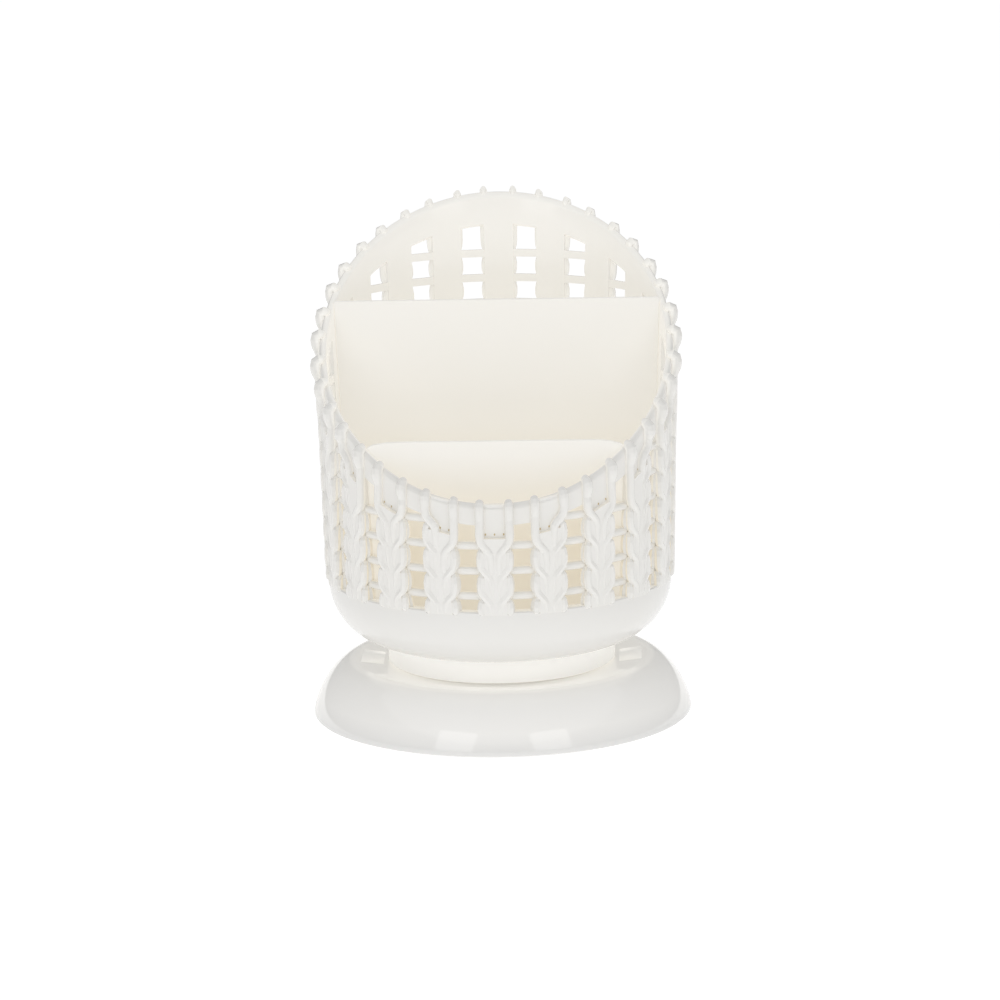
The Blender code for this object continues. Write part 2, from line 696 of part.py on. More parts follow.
def add_band(bm):
    """The rim band with its ribs: one closed ring between two slanted planes."""
    rib_count = COLUMN_COUNT * RIM_RIBS_PER_COLUMN
    half = RIM_RIB_WIDTH / 2 / plait_radius(MOUTH_HEIGHT)
    sections = []
    for index in range(rib_count):
        middle = (index + 0.5) * 2 * math.pi / rib_count
        for offset, relief in ((-half, 0.0), (0.0, RIM_RIB_RELIEF), (half, 0.0)):
            points = [band_point(middle + offset, *point) for point in band_section(relief)]
            sections.append([bm.verts.new(point) for point in points])
    for section, after in zip(sections, sections[1:] + sections[:1]):
        ring_faces(bm, section, after)


def divider_guides():
    """Low ribs on the floor, one on each side of each divider, as (y, length) pairs."""
    step = DIVIDER_THICKNESS / 2 + SEAT_GAP + GUIDE_THICKNESS / 2
    pairs = ((REAR_DIVIDER_PLACE, REAR_GUIDE_LENGTH), (FRONT_DIVIDER_PLACE, FRONT_GUIDE_LENGTH))
    return [(place + side * step, length) for place, length in pairs for side in (-1, 1)]


def make_cup(material, axis):
    cup = add_object("woven_cup", weave_mesh(), material, axis)
    additions = bmesh.new()
    add_band(additions)
    inside_floor = CUP_BOTTOM + FLOOR_THICKNESS / 2
    hole = COLLAR_SCREW_RADIUS + SEAT_GAP
    for x, y in collar_screw_places():
        top = FLOOR_HEIGHT + SCREW_BOSS_HEIGHT
        cylinder(additions, hole + SCREW_BOSS_WALL, inside_floor, top, x, y, SCREW_SEGMENTS)
    for y, length in divider_guides():
        block(additions, length, GUIDE_THICKNESS, inside_floor, FLOOR_HEIGHT + GUIDE_HEIGHT, 0.0, y)
    bmesh.ops.triangulate(additions, faces=additions.faces[:])
    combine(cup, add_operand("rim_band_and_floor_ribs", additions), "UNION")
    pilots = bmesh.new()
    pilot_top = COLLAR_UNDERSIDE - SEAT_GAP + COLLAR_SCREW_LENGTH + SCREW_TIP_SPACE
    for x, y in collar_screw_places():
        cylinder(pilots, hole, CUP_BOTTOM - CUT_OVERRUN, pilot_top, x, y, SCREW_SEGMENTS)
    combine(cup, add_operand("pilot_holes", pilots), "DIFFERENCE")
    return cup


def divider_outline(place, corner):
    """X and Z of a divider: it follows the inside of the cup and ends under the mouth plane."""
    nearest = abs(place) + DIVIDER_THICKNESS / 2
    top = MOUTH_HEIGHT + MOUTH_SLOPE_SHARE * place - DIVIDER_TOP_DROP
    bottom = FLOOR_HEIGHT + SEAT_GAP

    def half_width(height):
        clear = inner_radius(height - SEAT_GAP) - BAND_INNER_RELIEF - SEAT_GAP
        return math.sqrt(max(clear * clear - nearest * nearest, 0.0))

    side = []
    for step in range(BOWL_STEPS + 1):
        turn = math.pi / 2 * step / BOWL_STEPS
        height = bottom + (WEAVE_FOOT - bottom) * (1 - math.cos(turn))
        if half_width(height) > corner:
            side.append((half_width(height), height))
    low_corner = top - corner
    for step in range(CORNER_STEPS + 1):
        turn = math.pi / 2 * step / CORNER_STEPS
        drawn_in = corner * (1 - math.cos(turn))
        side.append((half_width(low_corner) - drawn_in, low_corner + corner * math.sin(turn)))
    return side + [(-x, height) for x, height in reversed(side)]


def make_divider(name, place, corner, material, axis):
    bm = bmesh.new()
    y = place - DIVIDER_THICKNESS / 2
    corners = [bm.verts.new((x, y, height)) for x, height in divider_outline(place, corner)]
    face = bm.faces.new(corners)
    moved = bmesh.ops.extrude_face_region(bm, geom=[face])["geom"]
    added = [item for item in moved if isinstance(item, bmesh.types.BMVert)]
    bmesh.ops.translate(bm, verts=added, vec=(0, DIVIDER_THICKNESS, 0))
    return add_object(name, bm, material, axis)


def main():
    clear_scene()
    white = plastic("white plastic", (0.86, 0.85, 0.82), 0.28)
    base_white = plastic("gloss white plastic", (0.88, 0.87, 0.85), 0.12)
    nylon = plastic("natural nylon", (0.80, 0.79, 0.74), 0.45)
    steel = plastic("zinc plated steel", (0.62, 0.62, 0.60), 0.32, 1.0)
    bearing_steel = plastic("bearing steel", (0.66, 0.66, 0.67), 0.12, 1.0)
    soft_pad = plastic("soft grey pad", (0.11, 0.11, 0.11), 0.85)

    cup_axis = add_axis("cup_axis")
    cage_axis = add_axis("cage_axis")

    make_base(base_white)
    make_feet(soft_pad)
    make_lower_race(steel)
    make_cage_and_balls(nylon, bearing_steel, cage_axis)
    make_upper_race(steel, cup_axis)
    make_collar(base_white, cup_axis)
    make_collar_screws(steel, cup_axis)
    make_washer(nylon, cup_axis)
    make_pivot_screw(steel, cup_axis)
    make_cup(white, cup_axis)
    make_divider("rear_divider", REAR_DIVIDER_PLACE, REAR_DIVIDER_CORNER, white, cup_axis)
    make_divider("front_divider", FRONT_DIVIDER_PLACE, FRONT_DIVIDER_CORNER, white, cup_axis)


main()
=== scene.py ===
# %% [markdown]
# # A rotating pencil cup
#
# The object is a white moulded desk cup. A basket with a woven look and a slanted mouth stands on a
# smooth bowl, the bowl stands on a short neck, and the neck turns on a ball bearing in a domed base.
#
# The frame comes first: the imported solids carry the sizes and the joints. Each piece that is
# modelled here rides on one of their bodies, so that it turns with the cup or stays with the base.

# %% Load the frame
import math

import bmesh
import bpy
from mathutils import Matrix, Quaternion, Vector


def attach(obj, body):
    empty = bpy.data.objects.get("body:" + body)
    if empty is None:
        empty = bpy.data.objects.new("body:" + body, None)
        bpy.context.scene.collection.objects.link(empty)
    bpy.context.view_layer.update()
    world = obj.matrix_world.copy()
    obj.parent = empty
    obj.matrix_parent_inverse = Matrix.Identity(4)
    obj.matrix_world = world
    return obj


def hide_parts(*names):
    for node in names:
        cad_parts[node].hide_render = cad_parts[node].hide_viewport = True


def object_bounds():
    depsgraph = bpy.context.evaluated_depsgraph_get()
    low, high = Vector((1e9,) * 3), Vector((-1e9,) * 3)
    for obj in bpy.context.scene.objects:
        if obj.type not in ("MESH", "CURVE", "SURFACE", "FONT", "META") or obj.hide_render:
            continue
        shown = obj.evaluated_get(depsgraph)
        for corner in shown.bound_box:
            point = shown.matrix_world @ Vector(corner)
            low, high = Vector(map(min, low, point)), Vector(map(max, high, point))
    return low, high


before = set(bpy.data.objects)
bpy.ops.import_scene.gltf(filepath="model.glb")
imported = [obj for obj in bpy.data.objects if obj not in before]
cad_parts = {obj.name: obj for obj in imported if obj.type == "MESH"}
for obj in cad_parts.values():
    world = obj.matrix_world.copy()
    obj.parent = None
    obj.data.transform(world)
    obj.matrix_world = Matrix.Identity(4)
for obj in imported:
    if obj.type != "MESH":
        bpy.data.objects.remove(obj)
cad_low, cad_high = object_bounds()
MM = 0.001
MICRON = 0.001 * MM
cad_sides = [round(side / MM, 1) for side in cad_high - cad_low]
print("solids:", len(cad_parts), "box in mm:", cad_sides)

# %% [markdown]
# ## Sizes
#
# All lengths are in metres and follow the solids. The weave starts on the bowl, twenty plaits run up
# from it, and the mouth is cut by a plane that climbs towards the back. The wall leans outwards a
# little, as every moulding does that has to leave its mould, so each radius grows with the height.

# %% Sizes of the cup
COLUMN_COUNT = 20
COLUMN_ANGLE = 2 * math.pi / COLUMN_COUNT
FOOT_HEIGHT = 43.6 * MM
CUP_BOTTOM = 24.3 * MM
FLOOR_HEIGHT = 26.8 * MM
ROW_PITCH = 7.72 * MM
FIRST_BAR_HEIGHT = FOOT_HEIGHT + 4.5 * MM
BAR_HEIGHT = 2.4 * MM
WALL_RADIUS = 50.75 * MM
WALL_THICKNESS = 1.7 * MM
WALL_TAPER = 0.035
PLAIT_RADIUS = 53.2 * MM
PLAIT_TAPER = 0.024
WINDOW_WIDTH = 5.7 * MM
PLAIT_HALF_ANGLE = COLUMN_ANGLE / 2 - WINDOW_WIDTH / 2 / WALL_RADIUS
BOWL_RADIUS = 52.4 * MM
NECK_RADIUS = 34.7 * MM
FLOOR_RADIUS = 33.0 * MM
MOUTH_HEIGHT = 114.9 * MM
MOUTH_SLOPE = 0.686
BAND_HEIGHT = 8.6 * MM
BAND_DROP = 1.6 * MM
BAR_ROOM = 2.3 * MM
BAND_INNER = WALL_RADIUS + WALL_TAPER * (MOUTH_HEIGHT - FOOT_HEIGHT) - WALL_THICKNESS
BAND_RELIEF = 0.4 * MM
BAND_OUTER = BAND_INNER + WALL_THICKNESS + BAND_RELIEF


def wall_radius(height):
    """Outer face of the bars."""
    return WALL_RADIUS + WALL_TAPER * (height - FOOT_HEIGHT)


def plait_radius(height):
    """Crest of the strands."""
    return PLAIT_RADIUS + PLAIT_TAPER * (height - FOOT_HEIGHT)


def around(angle, radius, height, aside=0.0):
    """A point of the cup. Angles start at the front and run to the right, aside follows the wall."""
    middle = Vector((radius * math.sin(angle), -radius * math.cos(angle), height))
    return middle + aside * Vector((math.cos(angle), math.sin(angle), 0.0))


def mouth_point(angle, radius, drop, aside=0.0):
    """A point under the slanted mouth plane, at a radius that the taper widens towards the back."""
    slope = MOUTH_SLOPE * math.cos(angle)
    lift = (-drop - slope * radius) / (1 + slope * WALL_TAPER)
    lift += MOUTH_SLOPE * math.sin(angle) * aside
    return around(angle, radius + WALL_TAPER * lift, MOUTH_HEIGHT + lift, aside)


def bar_count(angle):
    """How many bars of a window column stay clear of the rim band."""
    limit = mouth_point(angle, BAND_INNER, BAND_HEIGHT).z - BAR_ROOM
    return 1 + int((limit - FIRST_BAR_HEIGHT - BAR_HEIGHT / 2) / ROW_PITCH)


bars = [bar_count((index + 0.5) * COLUMN_ANGLE) for index in range(COLUMN_COUNT)]
print("bars in each window column, from the front to the right:", bars)

# %% [markdown]
# ## Materials
#
# Everything outside is moulded plastic in one milky white. What makes such plastic look real is
# small: the shine isn't quite even, the surface ripples by a few microns, and the white is a little
# warmer where the melt cooled last. Each of these is one noise pattern on Object coordinates, so it
# sits still on the piece from every side.
#
# A socket wrapped in a small class lets the shader maths read like the sum that it is.

# %% A socket that can be used in sums
class Signal:
    """An output socket. A sum or product with it adds the Math node that works it out."""

    def __init__(self, recipe, socket):
        self.recipe = recipe
        self.socket = socket

    def joined(self, operation, first, second):
        return self.recipe.node("ShaderNodeMath", {"operation": operation}, {0: first, 1: second})

    def __add__(self, other):
        return self.joined("ADD", self, other)

    def __mul__(self, other):
        return self.joined("MULTIPLY", self, other)

    def __sub__(self, other):
        return self.joined("SUBTRACT", self, other)

    def __rsub__(self, other):
        return self.joined("SUBTRACT", other, self)

    __radd__ = __add__
    __rmul__ = __mul__


class Recipe:
    """A new material and the methods that add nodes to it."""

    def __init__(self, name):
        self.material = bpy.data.materials.new(name)
        self.material.use_nodes = True
        self.tree = self.material.node_tree
        self.shader = self.tree.nodes["Principled BSDF"]

    def node(self, kind, settings, inputs, output=0):
        """Add a node, set it up, feed its sockets and return one of its outputs."""
        made = self.tree.nodes.new(kind)
        for name, value in settings.items():
            setattr(made, name, value)
        self.feed(made, inputs)
        return Signal(self, made.outputs[output])

    def feed(self, made, inputs):
        for name, value in inputs.items():
            if isinstance(value, Signal):
                self.tree.links.new(value.socket, made.inputs[name])
            else:
                made.inputs[name].default_value = value

    def place(self, output="Object"):
        """Where a point lies on its piece, or with Normal as output, which way its face looks."""
        return self.node("ShaderNodeTexCoord", {}, {}, output)

    def noise(self, place, scale, detail=2.0):
        inputs = {"Vector": place, "Scale": scale, "Detail": detail}
        return self.node("ShaderNodeTexNoise", {}, inputs, "Fac")

    def blend(self, share, first, second):
        inputs = {"Factor": share, "A": first, "B": second}
        return self.node("ShaderNodeMix", {"data_type": "RGBA"}, inputs, "Result")

    def limited(self, value):
        """A value held between 0 and 1."""
        return self.node("ShaderNodeClamp", {}, {"Value": value})

    def height_of(self, vector):
        """The upward part of a vector."""
        return self.node("ShaderNodeSeparateXYZ", {}, {0: vector}, "Z")

    def bump(self, strength, height):
        inputs = {"Strength": strength, "Distance": 1.0, "Height": height}
        return self.node("ShaderNodeBump", {}, inputs)


def opaque(colour):
    """A colour with full alpha, as the sockets want it."""
    return (*colour, 1.0)


# %% [markdown]
# ### Milky plastic, with painted glow and painted shade
#
# One function serves the basket, the bowl, the panels, the neck and the base, which differ in shine
# and in how strong the ripple is. The scales are waves per metre: 45 gives clouds of about 2 cm, 700
# a ripple of about 1.5 mm, and 4000 the finest grain.
#
# Milky plastic lets some light through its thin walls, and light bounces inside the cup. The glow
# stands in for that light: it is painted light, an emission in a warm white, so that the inside of
# the cup isn't dark. On the basket and the bowl the painted glow goes to the faces that look towards
# the axis or up from the floor, which the sign of (normal . position) tells.
#
# Two more tones are painted shade. Inside the basket and on the panels, the colour is painted warmer
# and darker towards the floor. On the base, the steep rim is painted darker, and the painted glow is
# strongest on the level deck, less on the dome and absent on the steep rim.

# %% Milky plastic with painted glow and painted shade
CLOUD_SCALE = 45.0
CLOUD_DETAIL = 3.0
RIPPLE_SCALE = 700.0
GRAIN_SCALE = 4000.0
GRAIN_DETAIL = 1.0
CLOUD_SHINE = 0.5
GRAIN_SHINE = 0.3
EVEN_SHINE = 0.6
PLASTIC_BUMP = 0.6
PLASTIC_IOR = 1.55
NO_PAINTED_GLOW = (0.0, 0.0, 0.0, 1.0)
PAINTED_GLOW_TINT = (1.0, 0.965, 0.88, 1.0)
PAINTED_GLOW_SHARPNESS = 40.0
FLOOR_WEIGHT = 0.01
SIDE_SHARE = 0.5
PAINTED_SHADE_DEEP_START = 87.0 * MM
PAINTED_SHADE_DEEP_GROWTH = 36.0
PAINTED_STEEP_START = 0.43
PAINTED_STEEP_GROWTH = 3.2
PAINTED_GLOW_DECK_START = 0.93
PAINTED_GLOW_DECK_GROWTH = 25.0
PAINTED_DOME_GLOW = 0.64


def painted_light_share(recipe, place):
    """Where painted light goes: about 1 on faces that look inwards or up, less on sides, 0 outwards.
    """
    normal = recipe.place("Normal")
    level = {"operation": "MULTIPLY"}
    sideways = recipe.node("ShaderNodeVectorMath", level, {0: place, 1: (1.0, 1.0, 0.0)})
    along = {"operation": "DOT_PRODUCT"}
    outward = recipe.node("ShaderNodeVectorMath", along, {0: sideways, 1: normal}, "Value")
    return (recipe.height_of(normal) * FLOOR_WEIGHT - outward) * PAINTED_GLOW_SHARPNESS + SIDE_SHARE


def milky_plastic(
    name, clear, warm, roughness, ripple, grain=0.0, painted_glow=0.0, painted_light_inside_only=False,
    deep_shade_tone=None, steep_shade_tone=None, lustre=0.5,
):
    """White plastic in two tones with painted glow. A third tone is painted shade, deep inside or on
    steep faces.
    """
    recipe = Recipe(name)
    place = recipe.place()
    cloud = recipe.noise(place, CLOUD_SCALE, CLOUD_DETAIL)
    wave = recipe.noise(place, RIPPLE_SCALE)
    dust = recipe.noise(place, GRAIN_SCALE, GRAIN_DETAIL)
    colour = recipe.blend(cloud, opaque(clear), opaque(warm))
    # Where the painted glow and the painted deep shade go: inside the cup only, or everywhere.
    share = painted_light_share(recipe, place) if painted_light_inside_only else 1.0
    # Painted shade: a warmer, darker tone towards the floor of the cup.
    if deep_shade_tone:
        depth = recipe.limited((PAINTED_SHADE_DEEP_START - recipe.height_of(place)) * PAINTED_SHADE_DEEP_GROWTH)
        colour = recipe.blend(depth * recipe.limited(share), colour, opaque(deep_shade_tone))
    # Painted shade: a darker tone on the steep rim of the base. The share then puts the most painted
    # glow on the level deck, less on the dome and none on the rim.
    if steep_shade_tone:
        upward = recipe.height_of(recipe.place("Normal"))
        rim = recipe.limited((PAINTED_STEEP_START - upward) * PAINTED_STEEP_GROWTH)
        deck = recipe.limited((upward - PAINTED_GLOW_DECK_START) * PAINTED_GLOW_DECK_GROWTH)
        share = (1 - rim) * PAINTED_DOME_GLOW + deck * (1 - PAINTED_DOME_GLOW)
        colour = recipe.blend(rim, colour, opaque(steep_shade_tone))
    recipe.feed(recipe.shader, {
        "Base Color": colour,
        "Roughness": (cloud * CLOUD_SHINE + dust * GRAIN_SHINE + EVEN_SHINE) * roughness,
        "Normal": recipe.bump(PLASTIC_BUMP, wave * ripple + dust * grain),
        "IOR": PLASTIC_IOR,
        "Specular IOR Level": lustre,
        # Painted light: a warm glow where the share is high, though the plastic is no lamp.
        "Emission Color": recipe.blend(share, NO_PAINTED_GLOW, PAINTED_GLOW_TINT),
        "Emission Strength": painted_glow,
    })
    return recipe.material


# In these finishes every glow is painted light, and every deep or steep tone is painted shade.
basket_white = milky_plastic(
    "basket milky plastic, painted glow and shade", clear=(0.90, 0.89, 0.865), warm=(0.885, 0.87, 0.83), roughness=0.12,
    ripple=2 * MICRON, grain=0.5 * MICRON, painted_glow=0.165, painted_light_inside_only=True, deep_shade_tone=(0.84, 0.78, 0.66),
)
bowl_white = milky_plastic(
    "bowl gloss plastic, painted glow", clear=(0.865, 0.857, 0.835), warm=(0.85, 0.837, 0.805), roughness=0.06,
    ripple=1 * MICRON, painted_glow=0.165, painted_light_inside_only=True,
)
panel_white = milky_plastic(
    "panel satin plastic, painted glow and shade", clear=(0.90, 0.885, 0.855), warm=(0.885, 0.87, 0.83), roughness=0.38,
    ripple=6 * MICRON, grain=4 * MICRON, painted_glow=0.155, deep_shade_tone=(0.85, 0.81, 0.73),
)
base_white = milky_plastic(
    "base gloss plastic, painted glow and shade", clear=(0.885, 0.88, 0.865), warm=(0.875, 0.865, 0.845), roughness=0.02,
    ripple=0.3 * MICRON, painted_glow=0.165, steep_shade_tone=(0.83, 0.825, 0.81), lustre=0.8,
)
neck_white = milky_plastic(
    "neck gloss plastic, painted glow", clear=(0.90, 0.897, 0.885), warm=(0.89, 0.885, 0.87), roughness=0.06,
    ripple=1 * MICRON, painted_glow=0.21,
)
# Painted shade: the dark tone of the vent holes' shaded mouths.
vent_shade = milky_plastic(
    "vent mouth painted shade", clear=(0.66, 0.54, 0.32), warm=(0.58, 0.47, 0.28), roughness=0.5,
    ripple=4 * MICRON,
)
plastics = (basket_white, bowl_white, panel_white, base_white, neck_white, vent_shade)
print("plastics:", ", ".join(made.name for made in plastics))

# %% [markdown]
# ## Tools of the bench
#
# A turned piece starts as half of its section, drawn to the right of the axis, and one full spin
# makes it round. A rod starts as an oval disc: extruding its face and moving the new face to the next
# point of a path, again and again, sweeps it along. These two, boxes with rounded edges and copies
# set round the axis make almost every piece of this cup.

# %% Helpers: spin, round off, sweep a rod, finish a piece
SHARP_ANGLE = math.radians(38)
WELD_DISTANCE = 1 * MICRON


def placed(name, data):
    """Put a mesh, a light or a camera in the scene."""
    holder = bpy.data.objects.new(name, data)
    bpy.context.scene.collection.objects.link(holder)
    return holder


def everything(bm):
    return bm.verts[:] + bm.edges[:] + bm.faces[:]


def spun(bm, geom, angle, steps, **options):
    """Spin geometry about the axis."""
    bmesh.ops.spin(
        bm, geom=geom, angle=angle, steps=steps, axis=(0, 0, 1), cent=(0, 0, 0), **options
    )


def set_round(bm, count):
    """Copy all there is round the axis, until there are so many in the ring."""
    spun(bm, everything(bm), 2 * math.pi * (count - 1) / count, count - 1, use_duplicate=True)


def turned(bm, section, steps):
    """Spin a closed section of (radius, height) points about the axis."""
    points = [bm.verts.new((radius, 0.0, height)) for radius, height in section]
    edges = [bm.edges.new(pair) for pair in zip(points, points[1:] + points[:1])]
    spun(bm, points + edges, 2 * math.pi, steps, use_merge=True)
    bmesh.ops.remove_doubles(bm, verts=bm.verts[:], dist=WELD_DISTANCE)
    loose = [edge for edge in bm.edges if not edge.link_faces]
    bmesh.ops.delete(bm, geom=loose, context="EDGES")


def box(bm, place, *sides):
    """A box with its middle at a place, which is a matrix."""
    bmesh.ops.create_cube(bm, size=1.0, matrix=place @ Matrix.Diagonal((*sides, 1.0)))


def round_off(bm, edges, radius, segments):
    """Round edges with a bevel."""
    bmesh.ops.bevel(
        bm, geom=edges, offset=radius, segments=segments, profile=0.5, affect="EDGES", material=-1
    )


def section_frame(path, index, across):
    """Where a rod's section stands at a point of its path: square to it, with its width across."""
    before = path[max(index - 1, 0)]
    after = path[min(index + 1, len(path) - 1)]
    along = (after - before).normalized()
    width = (across - along * across.dot(along)).normalized()
    depth = along.cross(width)
    turn = Matrix((width, depth, along)).transposed().to_4x4()
    return Matrix.Translation(path[index]) @ turn


def sweep(bm, path, across, width, depth, shares, sides=8, spreads=()):
    """Extrude an oval disc along a path. The shares draw its ends in, and the spreads widen it."""
    frames = []
    for index, share in enumerate(shares):
        spread = spreads[index] if index < len(spreads) else 1.0
        size = Matrix.Diagonal((width / 2 * share * spread, depth / 2 * share, 1.0, 1.0))
        frames.append(section_frame(path, index, across) @ size)
    rod = bmesh.new()
    bmesh.ops.create_circle(rod, cap_ends=True, segments=sides, radius=1.0, matrix=frames[0])
    face = next(iter(rod.faces))
    for last, place in zip(frames, frames[1:]):
        made = bmesh.ops.extrude_face_region(rod, geom=[face])["geom"]
        face = next(item for item in made if isinstance(item, bmesh.types.BMFace))
        bmesh.ops.transform(rod, matrix=place @ last.inverted(), verts=face.verts[:])
    carrier = bpy.data.meshes.new("rod")
    rod.to_mesh(carrier)
    rod.free()
    bm.from_mesh(carrier)
    bpy.data.meshes.remove(carrier)


def finished(name, bm, body, slot, material, *stands_for):
    """Turn a bmesh into a piece that rides on a body of the frame."""
    bmesh.ops.recalc_face_normals(bm, faces=bm.faces[:])
    mesh = bpy.data.meshes.new(name)
    bm.to_mesh(mesh)
    bm.free()
    mesh.shade_smooth()
    mesh.set_sharp_from_angle(angle=SHARP_ANGLE)
    mesh.materials.append(material)
    piece = placed(name, mesh)
    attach(piece, body)
    if stands_for:
        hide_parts(*stands_for)
    mesh.calc_loop_triangles()
    print(f"{name}: {len(mesh.loop_triangles)} triangles, rides on {body}")
    return piece


# %% [markdown]
# ## The bowl
#
# Under the weave the cup is a plain bowl: an outside that rounds in from the weave to the neck, and
# an inside that ends in a flat floor. Both are drawn as quarter curves in one closed section, and the
# spin turns that section into a bowl with a real wall. The small ledge on top carries the weave.

# %% Bowl
def quarter_curve(start, end, steps, share=1.0):
    """From a point where the wall stands upright to one where it lies level."""
    points = []
    for step in range(steps + 1):
        turn = math.pi / 2 * step / steps
        radius = end[0] + (start[0] - end[0]) * math.cos(turn)
        height = start[1] + (end[1] - start[1]) * math.sin(turn) ** share
        points.append((radius, height))
    return points


BOWL_EDGE = 0.8 * MM
LEDGE_ROUND = 0.35 * MM
CURVE_STEPS = 24
TURN_STEPS = 120
wall_foot = WALL_RADIUS - WALL_THICKNESS
bowl_start = (BOWL_RADIUS, FOOT_HEIGHT - BOWL_EDGE)
bowl_outside = quarter_curve(bowl_start, (NECK_RADIUS, CUP_BOTTOM), CURVE_STEPS)
bowl_inside = quarter_curve((wall_foot, FOOT_HEIGHT), (FLOOR_RADIUS, FLOOR_HEIGHT), CURVE_STEPS)
bowl_section = (
    [(BOWL_RADIUS - LEDGE_ROUND, FOOT_HEIGHT), (BOWL_RADIUS, FOOT_HEIGHT - LEDGE_ROUND)]
    + bowl_outside + [(0.0, CUP_BOTTOM), (0.0, FLOOR_HEIGHT)] + bowl_inside[::-1]
)
bm = bmesh.new()
turned(bm, bowl_section, TURN_STEPS)
finished("bowl", bm, "cup", "basket_plastic", bowl_white, "woven_cup")

# %% [markdown]
# ## On the floor of the cup
#
# Low ribs stand on the floor, one on each side of each divider, and keep it in its place. Three short
# bosses take the screws that hold the neck collar from below.

# %% Divider guides and screw bosses
REAR_PLACE = 15.3 * MM
FRONT_PLACE = -32.5 * MM
GUIDE_STEP = 1.7 * MM
GUIDE_THICKNESS = 1.2 * MM
GUIDE_HEIGHT = 3.0 * MM
GUIDE_ROUND = 0.4 * MM
REAR_GUIDE = 48.0 * MM
FRONT_GUIDE = 26.0 * MM
BOSS_COUNT = 3
BOSS_CIRCLE = 14.0 * MM
BOSS_RADIUS = 3.3 * MM
BOSS_HEIGHT = 4.5 * MM
BOSS_SIDES = 32
guide_level = FLOOR_HEIGHT + GUIDE_HEIGHT / 2 - GUIDE_ROUND
boss_level = FLOOR_HEIGHT + BOSS_HEIGHT / 2 - GUIDE_ROUND
bm = bmesh.new()
for place, length in ((REAR_PLACE, REAR_GUIDE), (FRONT_PLACE, FRONT_GUIDE)):
    for side in (-1, 1):
        middle = Matrix.Translation((0.0, place + side * GUIDE_STEP, guide_level))
        box(bm, middle, length, GUIDE_THICKNESS, GUIDE_HEIGHT)
for index in range(BOSS_COUNT):
    spot = around(index * 2 * math.pi / BOSS_COUNT, BOSS_CIRCLE, boss_level)
    bmesh.ops.create_cone(
        bm, cap_ends=True, segments=BOSS_SIDES, radius1=BOSS_RADIUS, radius2=BOSS_RADIUS,
        depth=BOSS_HEIGHT, matrix=Matrix.Translation(spot),
    )
upper = [
    edge for edge in bm.edges
    if min(vert.co.z for vert in edge.verts) > FLOOR_HEIGHT + GUIDE_HEIGHT / 2
]
round_off(bm, upper, GUIDE_ROUND, segments=3)
finished("floor_guides", bm, "cup", "basket_plastic", basket_white, "woven_cup")

# %% [markdown]
# ## The wall behind the plaits
#
# On the inside the basket is smooth: each plait has a web behind it that reaches from the bowl to the
# rim band. Under the band a short bib continues it downwards as a plain panel. Where the bib ends the
# plait begins with a step, and from there to the bowl a narrower core fills it up to just under its
# strands, so that the valleys between them stay shallow.
#
# All three are curved sheets. One sheet is a leaning line, spun through the angle that it covers.
# Nineteen copies round the axis make the rest, slanted cuts trim them along the mouth, and solidify
# gives them their wall, outwards or inwards from the face that was drawn.

# %% Webs, cores and bibs of the plaits
SHEET_STEPS = 6
tallest = mouth_point(math.pi, BAND_INNER, 0.0).z
slant = Vector((0.0, -MOUTH_SLOPE, 1.0)).normalized()


def leaning_sheets(half_angle, radius, taper, growth, top_drop, foot_drop=None):
    """One sheet for each plait, from the bowl or from a slanted line up to another slanted line."""
    bm = bmesh.new()
    low = bm.verts.new((0.0, -radius, FOOT_HEIGHT - BOWL_EDGE))
    high = bm.verts.new((0.0, -radius - taper * (tallest - FOOT_HEIGHT), tallest))
    edge = bm.edges.new((low, high))
    start = Matrix.Rotation(-half_angle, 3, "Z")
    bmesh.ops.rotate(bm, verts=[low, high], cent=(0, 0, 0), matrix=start)
    spun(bm, [low, high, edge], 2 * half_angle, SHEET_STEPS)
    set_round(bm, COLUMN_COUNT)
    top = {"plane_co": Vector((0.0, 0.0, MOUTH_HEIGHT - top_drop)), "plane_no": slant}
    bmesh.ops.bisect_plane(bm, geom=everything(bm), clear_outer=True, **top)
    if foot_drop is not None:
        foot = {"plane_co": Vector((0.0, 0.0, MOUTH_HEIGHT - foot_drop)), "plane_no": slant}
        bmesh.ops.bisect_plane(bm, geom=everything(bm), clear_inner=True, **foot)
    bmesh.ops.recalc_face_normals(bm, faces=bm.faces[:])
    level_middles = [Vector((*face.calc_center_median().xy, 0.0)) for face in bm.faces]
    outward = sum(face.normal.dot(middle) for face, middle in zip(bm.faces, level_middles))
    thickness = -growth * math.copysign(1.0, outward)
    bmesh.ops.solidify(bm, geom=bm.faces[:], thickness=thickness)
    return bm


WEB_SETBACK = 0.7 * MM
CORE_HALF_WIDTH = 3.4 * MM
BIB_HALF_WIDTH = 3.9 * MM
CORE_DEPTH = 0.3 * MM
CORE_THICKNESS = 1.9 * MM
BIB_FOOT_DROP = 12.1 * MM
web_half_angle = PLAIT_HALF_ANGLE - WEB_SETBACK / WALL_RADIUS
webs = leaning_sheets(web_half_angle, wall_foot, WALL_TAPER, WALL_THICKNESS, BAND_HEIGHT / 2)
finished("plait_webs", webs, "cup", "basket_plastic", basket_white, "woven_cup")
core_radius = PLAIT_RADIUS - CORE_DEPTH
core_half_angle = CORE_HALF_WIDTH / core_radius
cores = leaning_sheets(core_half_angle, core_radius, PLAIT_TAPER, -CORE_THICKNESS, BIB_FOOT_DROP)
finished("plait_cores", cores, "cup", "basket_plastic", basket_white, "woven_cup")
bib_radius = WALL_RADIUS + BAND_RELIEF
bibs = leaning_sheets(
    BIB_HALF_WIDTH / bib_radius, bib_radius, WALL_TAPER, -WALL_THICKNESS,
    BAND_HEIGHT / 2, BIB_FOOT_DROP + WALL_THICKNESS,
)
